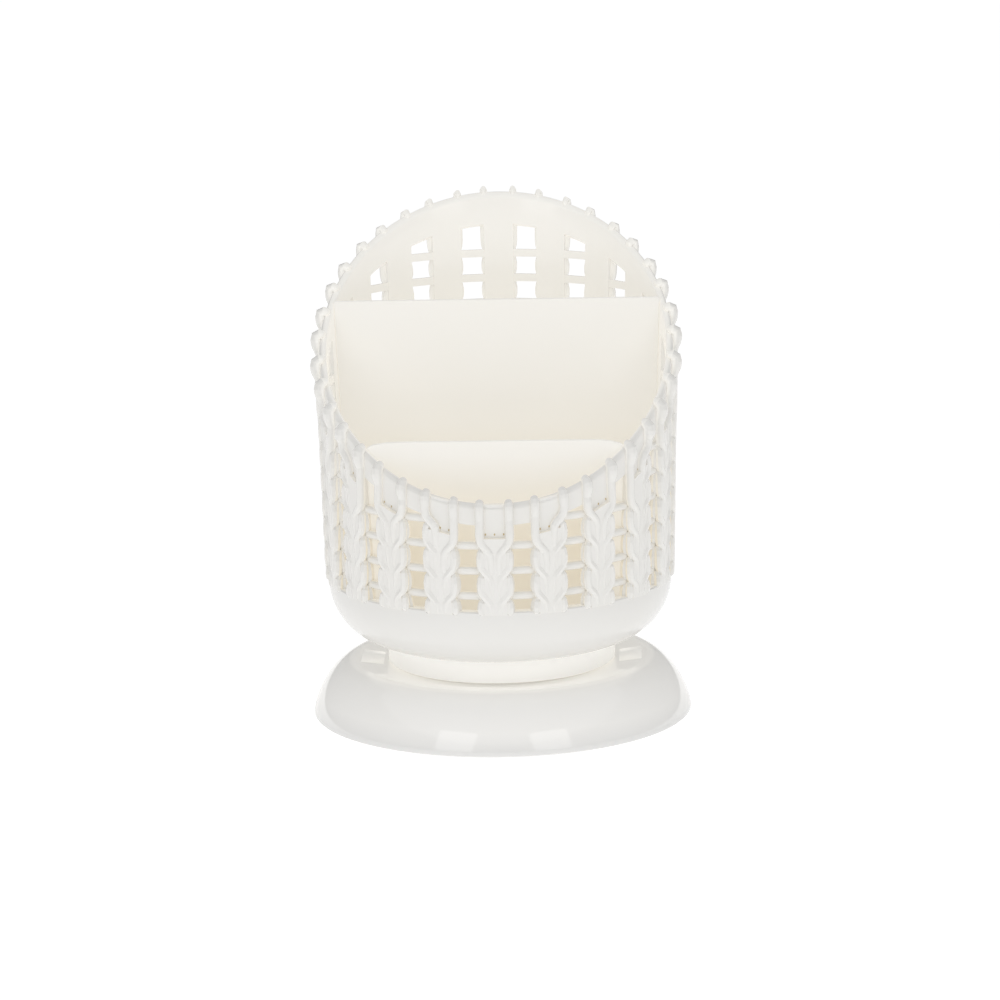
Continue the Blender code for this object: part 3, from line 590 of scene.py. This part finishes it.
finished("plait_bibs", bibs, "cup", "basket_plastic", basket_white, "woven_cup")

# %% [markdown]
# ## Bars
#
# Level bars cross the windows between the plaits. Outside they are round like rods, inside they are
# flat and flush with the wall. A bar is a box whose two outer edges are rounded until they nearly
# meet. It is made once, and each copy is leaned like the wall and turned to its window.

# %% Bars
BAR_DEPTH = 1.75 * MM
BAR_REACH = 0.9 * MM
BAR_ROUND = 1.0 * MM
bar = bmesh.new()
bar_middle = Matrix.Translation((0.0, -BAR_DEPTH / 2, 0.0))
box(bar, bar_middle, WINDOW_WIDTH + 2 * BAR_REACH, BAR_DEPTH, BAR_HEIGHT)
outer_edges = [
    edge for edge in bar.edges
    if max(vert.co.y for vert in edge.verts) < -BAR_DEPTH / 2
    and abs(edge.verts[0].co.x - edge.verts[1].co.x) > WINDOW_WIDTH
]
round_off(bar, outer_edges, BAR_ROUND, segments=4)
bar_mesh = bpy.data.meshes.new("bar")
bar.to_mesh(bar_mesh)
bar.free()
lean = Matrix.Rotation(math.atan(WALL_TAPER), 4, "X")
bm = bmesh.new()
for index, count in enumerate(bars):
    turn = Matrix.Rotation((index + 0.5) * COLUMN_ANGLE, 4, "Z")
    for row in range(count):
        height = FIRST_BAR_HEIGHT + row * ROW_PITCH
        place = Matrix.Translation((0, WALL_THICKNESS - wall_radius(height), height))
        before = len(bm.verts)
        bm.from_mesh(bar_mesh)
        bm.verts.ensure_lookup_table()
        bmesh.ops.transform(bm, matrix=turn @ place @ lean, verts=bm.verts[before:])
bpy.data.meshes.remove(bar_mesh)
finished("window_bars", bm, "cup", "basket_plastic", basket_white, "woven_cup")

# %% [markdown]
# ## Strands of the plaits
#
# Each plait is two rows of overlapping strands that mirror each other. A strand starts under a bar,
# swells out beside the window, then slants in over the next strand and runs down along the middle,
# where it dives under the one below. Its path is a short table: how far it is from the middle of the
# plait in mm, how far below its bar in rows, and how far it stands off the plait's crest in mm. The
# two lowest strands end in round stubs on the bowl.
#
# Where a strand bounds a window, a second one behind it, its back, fills the wall up to the inside.

# %% Strands
STRAND_WIDTH = 2.55 * MM
STRAND_DEPTH = 2.5 * MM
STRAND_PATH = (
    (3.6, 0.08, -0.9), (4.1, 0.24, -0.15), (4.35, 0.45, 0.0), (4.3, 0.68, 0.05), (3.95, 0.86, 0.1),
    (3.1, 1.0, 0.12), (2.2, 1.12, 0.12), (1.5, 1.26, 0.1), (1.2, 1.48, 0.05), (1.17, 2.0, -0.1),
    (1.1, 2.3, -0.9),
)
STRAND_SHARES = (0.7, 0.95, 1.0, 1.0, 1.0, 1.0, 1.0, 1.0, 1.0, 0.95, 0.7)
OUTER_STUB = (
    (3.6, 0.08, -0.9), (4.1, 0.24, -0.15), (4.3, 0.44, 0.0), (4.2, 0.62, -0.05), (4.15, 0.69, -0.3),
)
OUTER_SHARES = (0.7, 0.95, 1.0, 0.95, 0.6)
INNER_STUB = STRAND_PATH[:8] + ((1.25, 1.46, 0.05), (1.2, 1.6, -0.05), (1.2, 1.68, -0.3))
INNER_SHARES = (0.7, 0.95, 1.0, 1.0, 1.0, 1.0, 1.0, 1.0, 1.0, 0.95, 0.6)
STUBS = ((OUTER_STUB, OUTER_SHARES), (INNER_STUB, INNER_SHARES))
BACK_DEPTH = 2.2 * MM
BACK_PATH = ((3.9, 0.1), (4.15, 0.27), (4.35, 0.45), (4.3, 0.68), (3.95, 0.9))
BACK_SHARES = (0.6, 0.9, 1.0, 1.0, 0.8)


def plait_sides():
    """The angle of each plait, each of its sides, and how many bars the window beside it has."""
    for index in range(COLUMN_COUNT):
        for side in (-1, 1):
            yield index * COLUMN_ANGLE, side, bars[index] if side > 0 else bars[index - 1]


def strand_path(angle, side, height, table):
    """The points of one strand whose bar is at a height."""
    points = []
    for aside, rows, off in table:
        level = height - rows * ROW_PITCH
        radius = plait_radius(level) - STRAND_DEPTH / 2 + off * MM
        points.append(around(angle, radius, level, side * aside * MM))
    return points


def back_path(angle, side, height):
    """The points of a strand's back, which is flush with the inside of the wall."""
    points = []
    for aside, rows in BACK_PATH:
        level = height - rows * ROW_PITCH
        radius = wall_radius(level) - WALL_THICKNESS + BACK_DEPTH / 2
        points.append(around(angle, radius, level, side * aside * MM))
    return points


def across(angle):
    """The level direction along the wall, to the right."""
    return Vector((math.cos(angle), math.sin(angle), 0.0))


bm = bmesh.new()
for angle, side, beside in plait_sides():
    for row in range(beside):
        height = FIRST_BAR_HEIGHT + row * ROW_PITCH
        table, shares = STUBS[row] if row < len(STUBS) else (STRAND_PATH, STRAND_SHARES)
        strand = strand_path(angle, side, height, table)
        sweep(bm, strand, across(angle), STRAND_WIDTH, STRAND_DEPTH, shares)
        back = back_path(angle, side, height)
        sweep(bm, back, across(angle), STRAND_WIDTH, BACK_DEPTH, BACK_SHARES)
finished("plait_strands", bm, "cup", "basket_plastic", basket_white, "woven_cup")

# %% [markdown]
# ## Rim band
#
# The mouth is edged with a smooth thin band that is flush with the wall inside. It starts level, as a
# section spun about the axis. Then every point is moved to the height where the slanted mouth passes
# over it. The mouth isn't quite a plane: it dips at the front, and the edge of the band stands a
# little under the ribs there and level with them at the back.

# %% Band
BAND_ROUND = 0.9 * MM
EDGE_FALL = 1.3 * MM
EDGE_TILT = 1.2 * MM
FRONT_DIP = 2.0 * MM
DIP_START = math.cos(math.radians(53))
DIP_FULL = math.cos(math.radians(18))
ROUND_STEPS = 5
BAND_STEPS = 160


def rim_point(angle, radius, drop):
    """A point under the mouth with its dip, which fades towards the band's lower edge."""
    share = min(max((math.cos(angle) - DIP_START) / (DIP_FULL - DIP_START), 0.0), 1.0)
    dip = FRONT_DIP * share * max(1 - drop / BAND_HEIGHT, 0.0)
    return mouth_point(angle, radius, drop + dip)


def quarter_round(radius, drop, size, start):
    """A quarter circle about a point of the section, from an angle up and over."""
    turns = [math.radians(start + 90 * step / ROUND_STEPS) for step in range(ROUND_STEPS + 1)]
    return [(radius + size * math.cos(turn), drop - size * math.sin(turn)) for turn in turns]


band_section = (
    [(BAND_OUTER - BAND_ROUND, BAND_HEIGHT + BAND_DROP), (BAND_OUTER, BAND_HEIGHT + BAND_DROP / 2)]
    + quarter_round(BAND_OUTER - BAND_ROUND, BAND_ROUND, BAND_ROUND, 0)
    + quarter_round(BAND_INNER + BAND_ROUND, BAND_ROUND, BAND_ROUND, 90)
    + [(BAND_INNER, BAND_HEIGHT)]
)
bm = bmesh.new()
turned(bm, [(radius, -drop) for radius, drop in band_section], BAND_STEPS)
for vert in bm.verts:
    angle = math.atan2(vert.co.x, -vert.co.y)
    radius, drop = vert.co.xy.length, -vert.co.z
    fall = (EDGE_FALL + EDGE_TILT * math.cos(angle)) * max(1 - drop / BAND_HEIGHT, 0.0)
    vert.co = rim_point(angle, radius, drop + fall)
finished("rim_band", bm, "cup", "basket_plastic", basket_white, "woven_cup")

# %% [markdown]
# ## Rim ribs
#
# Forty ribs stand on the outside of the band, two for each plait. A rib begins as a round knuckle on
# the rim, runs down the band and then slants in as the topmost strand of its plait. So the first
# points of its path follow the mouth plane, and the last follow the bars. The knuckles swell at the
# sides of the mouth, stay low in front and end in slender tips behind.
#
# The first table has, for each point, how far it stands out from the band in mm, how far it is below
# the mouth in mm, and how much of the knuckle's swell it takes. The second is like a strand's.

# %% Ribs
RIB_ANGLE = math.radians(4.75)
RIB_WIDTH = 3.2 * MM
RIB_DEPTH = 3.3 * MM
RIB_TOP = (
    (-1.2, 1.3, 0.6), (-0.7, 0.6, 0.6), (0.0, 0.5, 0.7), (0.4, 1.1, 0.9), (0.5, 2.2, 1.0),
    (0.5, 3.3, 0.95), (0.45, 4.4, 0.8), (0.4, 5.4, 0.45), (0.3, 7.0, 0.1),
)
SWELL_POWER = 1.5
TIP_POWER = 3
KNUCKLE_RELIEF = 0.7 * MM
KNUCKLE_GROWTH = 0.33
KNUCKLE_SPREAD = 0.28
SIDE_SINK = 0.35 * MM
FRONT_SINK = 0.8 * MM
TIP_RISES = (0.4 * MM, 1.0 * MM, 1.1 * MM, 0.8 * MM)
TIP_SHARES = (0.6, 0.5, 0.55, 0.85)
RIB_TAIL = (
    (4.5, -0.5, 0.1), (4.35, -0.3, 0.12), (3.95, -0.14, 0.12), (3.1, 0.0, 0.12), (2.2, 0.12, 0.12),
    (1.5, 0.26, 0.1), (1.2, 0.48, 0.05), (1.17, 1.0, -0.1), (1.1, 1.3, -0.9),
)
RIB_START_SHARES = (0.7, 0.95)
RIB_END_SHARES = (0.95, 0.7)
RIB_SIDES = 6
ROUNDING_LEVELS = 2


def rib_top(angle, lowest):
    """The points of a rib on the band, each with its size and its spread."""
    swell = abs(math.sin(angle)) ** SWELL_POWER
    sunk = FRONT_SINK * max(math.cos(angle), 0.0) + SIDE_SINK * swell
    behind = max(-math.cos(angle), 0.0) ** TIP_POWER
    made = []
    for index, (outward, drop, knuckle) in enumerate(RIB_TOP):
        size = 1 + KNUCKLE_GROWTH * swell * knuckle
        drop = drop * MM
        drop += sunk * max(1 - drop / BAND_HEIGHT, 0.0)
        if index < len(TIP_RISES):
            drop -= TIP_RISES[index] * behind
            size *= 1 + (TIP_SHARES[index] - 1) * behind
        radius = BAND_OUTER + outward * MM
        if outward > 0:
            radius += KNUCKLE_RELIEF * swell * knuckle
        point = rim_point(angle, radius, drop)
        if point.z > lowest:
            made.append((point, size, 1 + KNUCKLE_SPREAD * swell * knuckle))
    return made


bm = bmesh.new()
for angle, side, beside in plait_sides():
    top_bar = FIRST_BAR_HEIGHT + (beside - 1) * ROW_PITCH
    tail = strand_path(angle, side, top_bar, RIB_TAIL)
    rib_angle = angle + side * RIB_ANGLE
    top = rib_top(rib_angle, tail[0].z + BAND_ROUND)
    path = [point for point, size, spread in top] + tail
    spreads = [spread for point, size, spread in top]
    shares = [size for point, size, spread in top] + [1.0] * (len(tail) - len(RIB_END_SHARES))
    shares += RIB_END_SHARES
    for index, share in enumerate(RIB_START_SHARES):
        shares[index] *= share
    sweep(bm, path, across(rib_angle), RIB_WIDTH, RIB_DEPTH, shares, RIB_SIDES, spreads)
ribs = finished("rim_ribs", bm, "cup", "basket_plastic", basket_white, "woven_cup")
ribs.data.shade_smooth()
rounding = ribs.modifiers.new("rounding", "SUBSURF")
rounding.levels = rounding.render_levels = ROUNDING_LEVELS

# %% [markdown]
# ## Vent holes
#
# Three tiny vent holes sit at the step where each plait begins, left there by pins of the mould. No
# hole is cut: a flattened ball in a dark tone is painted shade and stands for a hole's shaded mouth.

# %% Vent holes
VENT_ASIDES = (-2.7, 0.0, 2.7)
VENT_SIZE = (0.24 * MM, 0.25 * MM, 0.36 * MM)
VENT_RISE = 0.1 * MM
bm = bmesh.new()
for index in range(COLUMN_COUNT):
    angle = index * COLUMN_ANGLE
    shape = Matrix.Rotation(angle, 4, "Z") @ Matrix.Diagonal((*VENT_SIZE, 1.0))
    for aside in VENT_ASIDES:
        spot = mouth_point(angle, BAND_OUTER, BIB_FOOT_DROP, aside * MM)
        reach = (wall_radius(spot.z) + BAND_RELIEF) / spot.xy.length
        spot = Vector((spot.x * reach, spot.y * reach, spot.z + VENT_RISE))
        bmesh.ops.create_icosphere(
            bm, subdivisions=2, radius=1.0, matrix=Matrix.Translation(spot) @ shape
        )
finished("vent_holes", bm, "cup", "basket_plastic", vent_shade, "woven_cup")

# %% [markdown]
# ## Dividers
#
# Two upright panels divide the inside. A panel is a box whose top is widened to follow the wall's
# lean. Rounding its two lower corners with a large radius fits it to the bowl, its upper corners get
# the radius that shows in the mouth, and a small bevel breaks every edge.

# %% Dividers
DIVIDER_THICKNESS = 1.6 * MM
EDGE_ROUND = 0.3 * MM
WALL_GRIP = 0.35 * MM
PANEL_LIFT = 0.3 * MM
CORNER_SEGMENTS = 10
BOWL_CORNER_SEGMENTS = 14
EDGE_SEGMENTS = 3
OUTLINE_ANGLE = math.radians(60)


def panel(name, place, lowered, corner, corner_height, bowl_corner):
    """A divider at a distance from the axis along Y."""
    nearest = abs(place) + DIVIDER_THICKNESS / 2
    bottom = FLOOR_HEIGHT + PANEL_LIFT
    top = MOUTH_HEIGHT + MOUTH_SLOPE * place - lowered
    middle = (top + bottom) / 2
    bm = bmesh.new()
    box(bm, Matrix.Translation((0, place, middle)), 1.0, DIVIDER_THICKNESS, top - bottom)
    for vert in bm.verts:
        clear = wall_radius(vert.co.z) - WALL_THICKNESS + WALL_GRIP
        vert.co.x = math.copysign(math.sqrt(clear * clear - nearest * nearest), vert.co.x)
    through = [
        edge for edge in bm.edges
        if abs(edge.verts[0].co.y - edge.verts[1].co.y) > DIVIDER_THICKNESS / 2
    ]
    low_corners = [edge for edge in through if edge.verts[0].co.z < middle]
    high_corners = [edge for edge in through if edge.verts[0].co.z > middle]
    round_off(bm, low_corners, bowl_corner, BOWL_CORNER_SEGMENTS)
    stretch = corner / corner_height
    bmesh.ops.scale(bm, verts=bm.verts[:], vec=(1.0, 1.0, stretch))
    round_off(bm, high_corners, corner, CORNER_SEGMENTS)
    bmesh.ops.scale(bm, verts=bm.verts[:], vec=(1.0, 1.0, 1 / stretch))
    bm.normal_update()
    outline = [edge for edge in bm.edges if edge.calc_face_angle(0.0) > OUTLINE_ANGLE]
    round_off(bm, outline, EDGE_ROUND, EDGE_SEGMENTS)
    return finished(name, bm, "cup", "divider_plastic", panel_white, name)


panel(
    "rear_divider", REAR_PLACE, lowered=0.0, corner=0.8 * MM, corner_height=0.8 * MM,
    bowl_corner=16.5 * MM,
)
panel(
    "front_divider", FRONT_PLACE, lowered=1.2 * MM, corner=10.0 * MM, corner_height=2.4 * MM,
    bowl_corner=14.0 * MM,
)

# %% [markdown]
# ## Neck and base
#
# The neck collar turns with the cup and ends half a millimetre above the base, which leaves the fine
# dark line round its foot. The base is a domed shell whose deck is a shallow dish, with a well for
# the bearing and a hub for the spindle. Collar and shell are spun from their whole sections, so their
# hollow insides are there too.

# %% Neck collar
DECK_HEIGHT = 17.6 * MM
DECK_RADIUS = 44.0 * MM
BASE_RADIUS = 57.8 * MM
NECK_GAP = 0.5 * MM
COLLAR_UNDERSIDE = 21.6 * MM
COLLAR_TOP = 24.0 * MM
SKIRT_RADIUS = 32.3 * MM
SPINDLE_RADIUS = 5.0 * MM
SPINDLE_BOTTOM = 7.2 * MM
SCREW_HOLE = 1.8 * MM
SCREW_HOLE_TOP = 17.7 * MM
NECK_ROUND = 0.25 * MM
DISH_DEPTH = 0.9 * MM
DISH_RADIUS = 37.0 * MM
skirt_foot = DECK_HEIGHT - DISH_DEPTH + NECK_GAP
collar_section = [
    (0.0, SCREW_HOLE_TOP), (SCREW_HOLE, SCREW_HOLE_TOP), (SCREW_HOLE, SPINDLE_BOTTOM),
    (SPINDLE_RADIUS, SPINDLE_BOTTOM), (SPINDLE_RADIUS, COLLAR_UNDERSIDE),
    (SKIRT_RADIUS, COLLAR_UNDERSIDE), (SKIRT_RADIUS, skirt_foot),
    (NECK_RADIUS - NECK_ROUND, skirt_foot), (NECK_RADIUS, skirt_foot + NECK_ROUND),
    (NECK_RADIUS, COLLAR_TOP), (0.0, COLLAR_TOP),
]
bm = bmesh.new()
turned(bm, collar_section, TURN_STEPS)
finished("neck_collar_skin", bm, "cup", "base_plastic", neck_white, "neck_collar")

# %% Base dome
BASE_LIFT = 0.6 * MM
BASE_LAND = 1.2 * MM
BASE_WALL = 2.2 * MM
DOME_SHARE = 1.5
WELL_RADIUS = 32.0 * MM
WELL_FLOOR = 14.4 * MM
HUB_BORE = 5.15 * MM
HUB_OUTSIDE = 8.15 * MM
HUB_TOP = 17.4 * MM
HUB_BOTTOM = 7.4 * MM
RIM_ROUND = 0.3 * MM
DOME_STEPS = 28
DOME_INSIDE_STEPS = 20
BASE_TURN_STEPS = 144
land_top = BASE_LIFT + BASE_LAND
inner_start = (BASE_RADIUS - BASE_WALL, land_top)
inner_end = (DECK_RADIUS - BASE_WALL / 2, DECK_HEIGHT - BASE_WALL)
dome_outside = quarter_curve(
    (BASE_RADIUS, land_top), (DECK_RADIUS, DECK_HEIGHT), DOME_STEPS, DOME_SHARE
)
dome_inside = quarter_curve(inner_start, inner_end, DOME_INSIDE_STEPS, DOME_SHARE)
base_section = (
    [(BASE_RADIUS - RIM_ROUND, BASE_LIFT), (BASE_RADIUS, BASE_LIFT + RIM_ROUND)] + dome_outside
    + [
        (DISH_RADIUS, DECK_HEIGHT - DISH_DEPTH), (WELL_RADIUS, DECK_HEIGHT - DISH_DEPTH),
        (WELL_RADIUS, WELL_FLOOR), (HUB_OUTSIDE, WELL_FLOOR), (HUB_OUTSIDE, HUB_TOP),
        (HUB_BORE, HUB_TOP), (HUB_BORE, HUB_BOTTOM), (HUB_OUTSIDE, HUB_BOTTOM),
        (HUB_OUTSIDE, WELL_FLOOR - BASE_WALL), (WELL_RADIUS + BASE_WALL, WELL_FLOOR - BASE_WALL),
        (WELL_RADIUS + BASE_WALL, DECK_HEIGHT - BASE_WALL),
    ]
    + dome_inside[::-1] + [(BASE_RADIUS - BASE_WALL, BASE_LIFT)]
)
bm = bmesh.new()
turned(bm, base_section, BASE_TURN_STEPS)
finished("base_shell", bm, "base", "base_plastic", base_white, "base_dome")

# %% [markdown]
# ### Under the base
#
# From below the dome is hollow. Eight ribs run from the hub to the rim and keep the thin shell stiff,
# and four round bosses hold the pads. One rib is a flat outline of (radius, height) corners in mm,
# extruded to its thickness and copied round the axis. Its top is buried in the shell. A boss is spun
# on the axis first and then moved out to its place.

# %% Ribs and pad bosses under the base
UNDER_RIB_COUNT = 8
RIB_THICKNESS = 1.6 * MM
UNDER_RIB = (
    (6.6, 8.8), (56.2, 3.6), (55.6, 5.5), (52.4, 11.0), (48.7, 14.5), (44.0, 16.4), (33.1, 16.4),
    (33.1, 13.3), (6.6, 13.3),
)
PAD_COUNT = 4
PAD_ANGLE = math.radians(45)
PAD_CIRCLE = 46.0 * MM
PAD_BOSS = ((0.0, 1.9), (5.3, 1.9), (5.3, 0.9), (6.5, 0.9), (6.5, 5.9), (0.0, 5.9))
PAD_STEPS = 40
bm = bmesh.new()
corners = [
    bm.verts.new((radius * MM, -RIB_THICKNESS / 2, height * MM)) for radius, height in UNDER_RIB
]
outline = bm.faces.new(corners)
made = bmesh.ops.extrude_face_region(bm, geom=[outline], use_keep_orig=True)["geom"]
moved = [item for item in made if isinstance(item, bmesh.types.BMVert)]
bmesh.ops.translate(bm, verts=moved, vec=(0.0, RIB_THICKNESS, 0.0))
set_round(bm, UNDER_RIB_COUNT)
finished("base_ribs", bm, "base", "base_plastic", base_white, "base_dome")
bm = bmesh.new()
turned(bm, [(radius * MM, height * MM) for radius, height in PAD_BOSS], PAD_STEPS)
bmesh.ops.translate(bm, verts=bm.verts[:], vec=around(PAD_ANGLE, PAD_CIRCLE, 0.0))
set_round(bm, PAD_COUNT)
finished("pad_bosses", bm, "base", "base_plastic", base_white, "base_dome")

# %% [markdown]
# ### On the deck
#
# Two low tabs, left and right of the neck, lie in the slope of the dish. They leave the fine
# rectangular lines that show there.

# %% Tabs on the deck
TAB_PLACE = 39.1 * MM
TAB_LENGTH = 7.8 * MM
TAB_WIDTH = 15.0 * MM
TAB_HEIGHT = 1.2 * MM
TAB_RELIEF = 0.12 * MM
deck_slope = math.atan(DISH_DEPTH / (DECK_RADIUS - DISH_RADIUS))
tab_level = DECK_HEIGHT - (DECK_RADIUS - TAB_PLACE) * math.tan(deck_slope)
tab_middle = tab_level + TAB_RELIEF - TAB_HEIGHT / 2
bm = bmesh.new()
for side in (-1, 1):
    spot = Matrix.Translation((side * TAB_PLACE, 0.0, tab_middle))
    tilt = Matrix.Rotation(-side * deck_slope, 4, "Y")
    box(bm, spot @ tilt, TAB_LENGTH, TAB_WIDTH, TAB_HEIGHT)
round_off(bm, bm.edges[:], TAB_RELIEF / 4, segments=2)
finished("deck_tabs", bm, "base", "base_plastic", neck_white, "base_dome")

# %% [markdown]
# ## Finishes of the solids that stay
#
# The pads, the bearing and the screws keep their solids, whose shapes are right, and only get better
# materials: foam rubber with fine pores, matt nylon, zinc plated steel with a clouded, slightly
# scratched shine, and polished balls.

# %% Rubber, nylon and steel
PART_BUMP = 0.7
PART_SHINE = 0.1


def small_part(name, first, second, roughness, metallic, cloud_scale, grain_scale, grain):
    """A finish of two tones in clouds, with fine grain in its bump and in its shine."""
    recipe = Recipe(name)
    place = recipe.place()
    cloud = recipe.noise(place, cloud_scale, CLOUD_DETAIL)
    dust = recipe.noise(place, grain_scale)
    recipe.feed(recipe.shader, {
        "Base Color": recipe.blend(cloud, opaque(first), opaque(second)),
        "Metallic": metallic,
        "Roughness": cloud * PART_SHINE + dust * PART_SHINE + (roughness - PART_SHINE),
        "Normal": recipe.bump(PART_BUMP, dust * grain),
    })
    return recipe.material


rubber = small_part(
    "foam rubber", (0.055, 0.055, 0.06), (0.09, 0.09, 0.092), roughness=0.85, metallic=0.0,
    cloud_scale=250.0, grain_scale=2200.0, grain=80 * MICRON,
)
nylon = small_part(
    "natural nylon", (0.82, 0.79, 0.70), (0.74, 0.71, 0.62), roughness=0.5, metallic=0.0,
    cloud_scale=90.0, grain_scale=3000.0, grain=6 * MICRON,
)
zinc = small_part(
    "zinc plated steel", (0.66, 0.68, 0.70), (0.52, 0.54, 0.57), roughness=0.34, metallic=1.0,
    cloud_scale=400.0, grain_scale=5000.0, grain=3 * MICRON,
)
polished = small_part(
    "polished steel", (0.80, 0.80, 0.81), (0.74, 0.75, 0.77), roughness=0.16, metallic=1.0,
    cloud_scale=600.0, grain_scale=6000.0, grain=0.0,
)
kept = {
    rubber: [f"foot_{index}" for index in range(1, 5)],
    nylon: ["pivot_washer", "ball_cage"],
    zinc: ["lower_race", "upper_race", "pivot_screw"]
    + [f"collar_screw_{index}" for index in range(1, 4)],
    polished: [f"ball_{index:02d}" for index in range(1, 13)],
}
for material, names in kept.items():
    for name in names:
        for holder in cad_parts[name].material_slots:
            holder.material = material
    print(f"{material.name}: {len(names)} solids")

# %% [markdown]
# ## Studio
#
# The cup stands on a plain white floor that glows a little, in a white world. A wide soft light
# comes from above. Two soft boxes in front leave the two bright patches low on the base.

# %% Floor
FLOOR_SIZE = 12.0
FLOOR_GLOW = 0.46
FLOOR_CLOUDS = 4.0
bm = bmesh.new()
bmesh.ops.create_grid(bm, x_segments=1, y_segments=1, size=FLOOR_SIZE / 2)
floor_mesh = bpy.data.meshes.new("floor")
bm.to_mesh(floor_mesh)
bm.free()
floor = placed("floor", floor_mesh)
floor_paint = Recipe("floor paper")
floor_cloud = floor_paint.noise(floor_paint.place(), FLOOR_CLOUDS)
floor_paint.feed(floor_paint.shader, {
    "Base Color": floor_paint.blend(floor_cloud, opaque((0.92,) * 3), opaque((0.9,) * 3)),
    "Roughness": 0.9,
    "Specular IOR Level": 0.0,
    "Emission Color": (1.0, 1.0, 1.0, 1.0),
    "Emission Strength": FLOOR_GLOW,
})
floor_mesh.materials.append(floor_paint.material)
print("floor:", FLOOR_SIZE, "m wide")

# %% Lights
BOX_AIM = Vector((0.0, 0.0, 70.0 * MM))
BOX_DISTANCE = 1.5
WORLD_STRENGTH = 0.43


def outwards(azimuth, elevation):
    """The direction from the cup to a place round it, from two angles in degrees."""
    turn, rise = math.radians(azimuth), math.radians(elevation)
    level = math.cos(rise)
    return Vector((math.sin(turn) * level, -math.cos(turn) * level, math.sin(rise)))


def soft_box(name, azimuth, elevation, width, height, power):
    """An area light that faces the cup from a direction round it."""
    back = outwards(azimuth, elevation)
    light = bpy.data.lights.new(name, "AREA")
    light.shape = "RECTANGLE"
    light.size, light.size_y = width, height
    light.energy = power
    lamp = placed(name, light)
    lamp.location = BOX_AIM + back * BOX_DISTANCE
    lamp.rotation_euler = (-back).to_track_quat("-Z", "Y").to_euler()
    print(f"{name}: {power} W from azimuth {azimuth}, elevation {elevation}")


def wide_light(name, azimuth, elevation, spread, power):
    """Light from a whole part of the tent, which is as even as a sky."""
    light = bpy.data.lights.new(name, "SUN")
    light.energy = power
    light.angle = math.radians(spread)
    lamp = placed(name, light)
    lamp.rotation_euler = (math.radians(90 - elevation), 0.0, math.radians(azimuth))
    print(f"{name}: {power} W/m2 from azimuth {azimuth}, elevation {elevation}")


soft_box("soft box left", azimuth=-28, elevation=17, width=0.6, height=0.85, power=1.38)
soft_box("soft box right", azimuth=31, elevation=17, width=0.6, height=0.8, power=1.27)
wide_light("tent roof", azimuth=0, elevation=76, spread=110, power=0.6)

world = bpy.data.worlds.new("studio")
world.use_nodes = True
sky = world.node_tree.nodes["Background"].inputs
sky["Color"].default_value = (1.0, 1.0, 1.0, 1.0)
sky["Strength"].default_value = WORLD_STRENGTH
bpy.context.scene.world = world
bpy.context.scene.view_settings.view_transform = "Standard"

# %% [markdown]
# ## Camera
#
# The camera looks slightly down on the cup through a long lens. Its place, roll and shift come from
# a fit to the photo.

# %% Camera
TARGET = Vector((0.0, 0.0, 65.9 * MM))
CAMERA_DISTANCE = 1.6
CAMERA_AZIMUTH = 1.65
CAMERA_ELEVATION = 12.76
CAMERA_ROLL = math.radians(-1.12)
CAMERA_LENS = 188.96
CAMERA_SHIFT = 0.0011
back = outwards(CAMERA_AZIMUTH, CAMERA_ELEVATION)
camera_data = bpy.data.cameras.new("camera")
camera_data.lens = CAMERA_LENS
camera_data.shift_x = CAMERA_SHIFT
camera = placed("camera", camera_data)
camera.location = TARGET + back * CAMERA_DISTANCE
look = (-back).to_track_quat("-Z", "Y") @ Quaternion((0, 0, 1), CAMERA_ROLL)
camera.rotation_euler = look.to_euler()
bpy.context.scene.camera = camera
print("camera at", [round(value, 3) for value in camera.location])
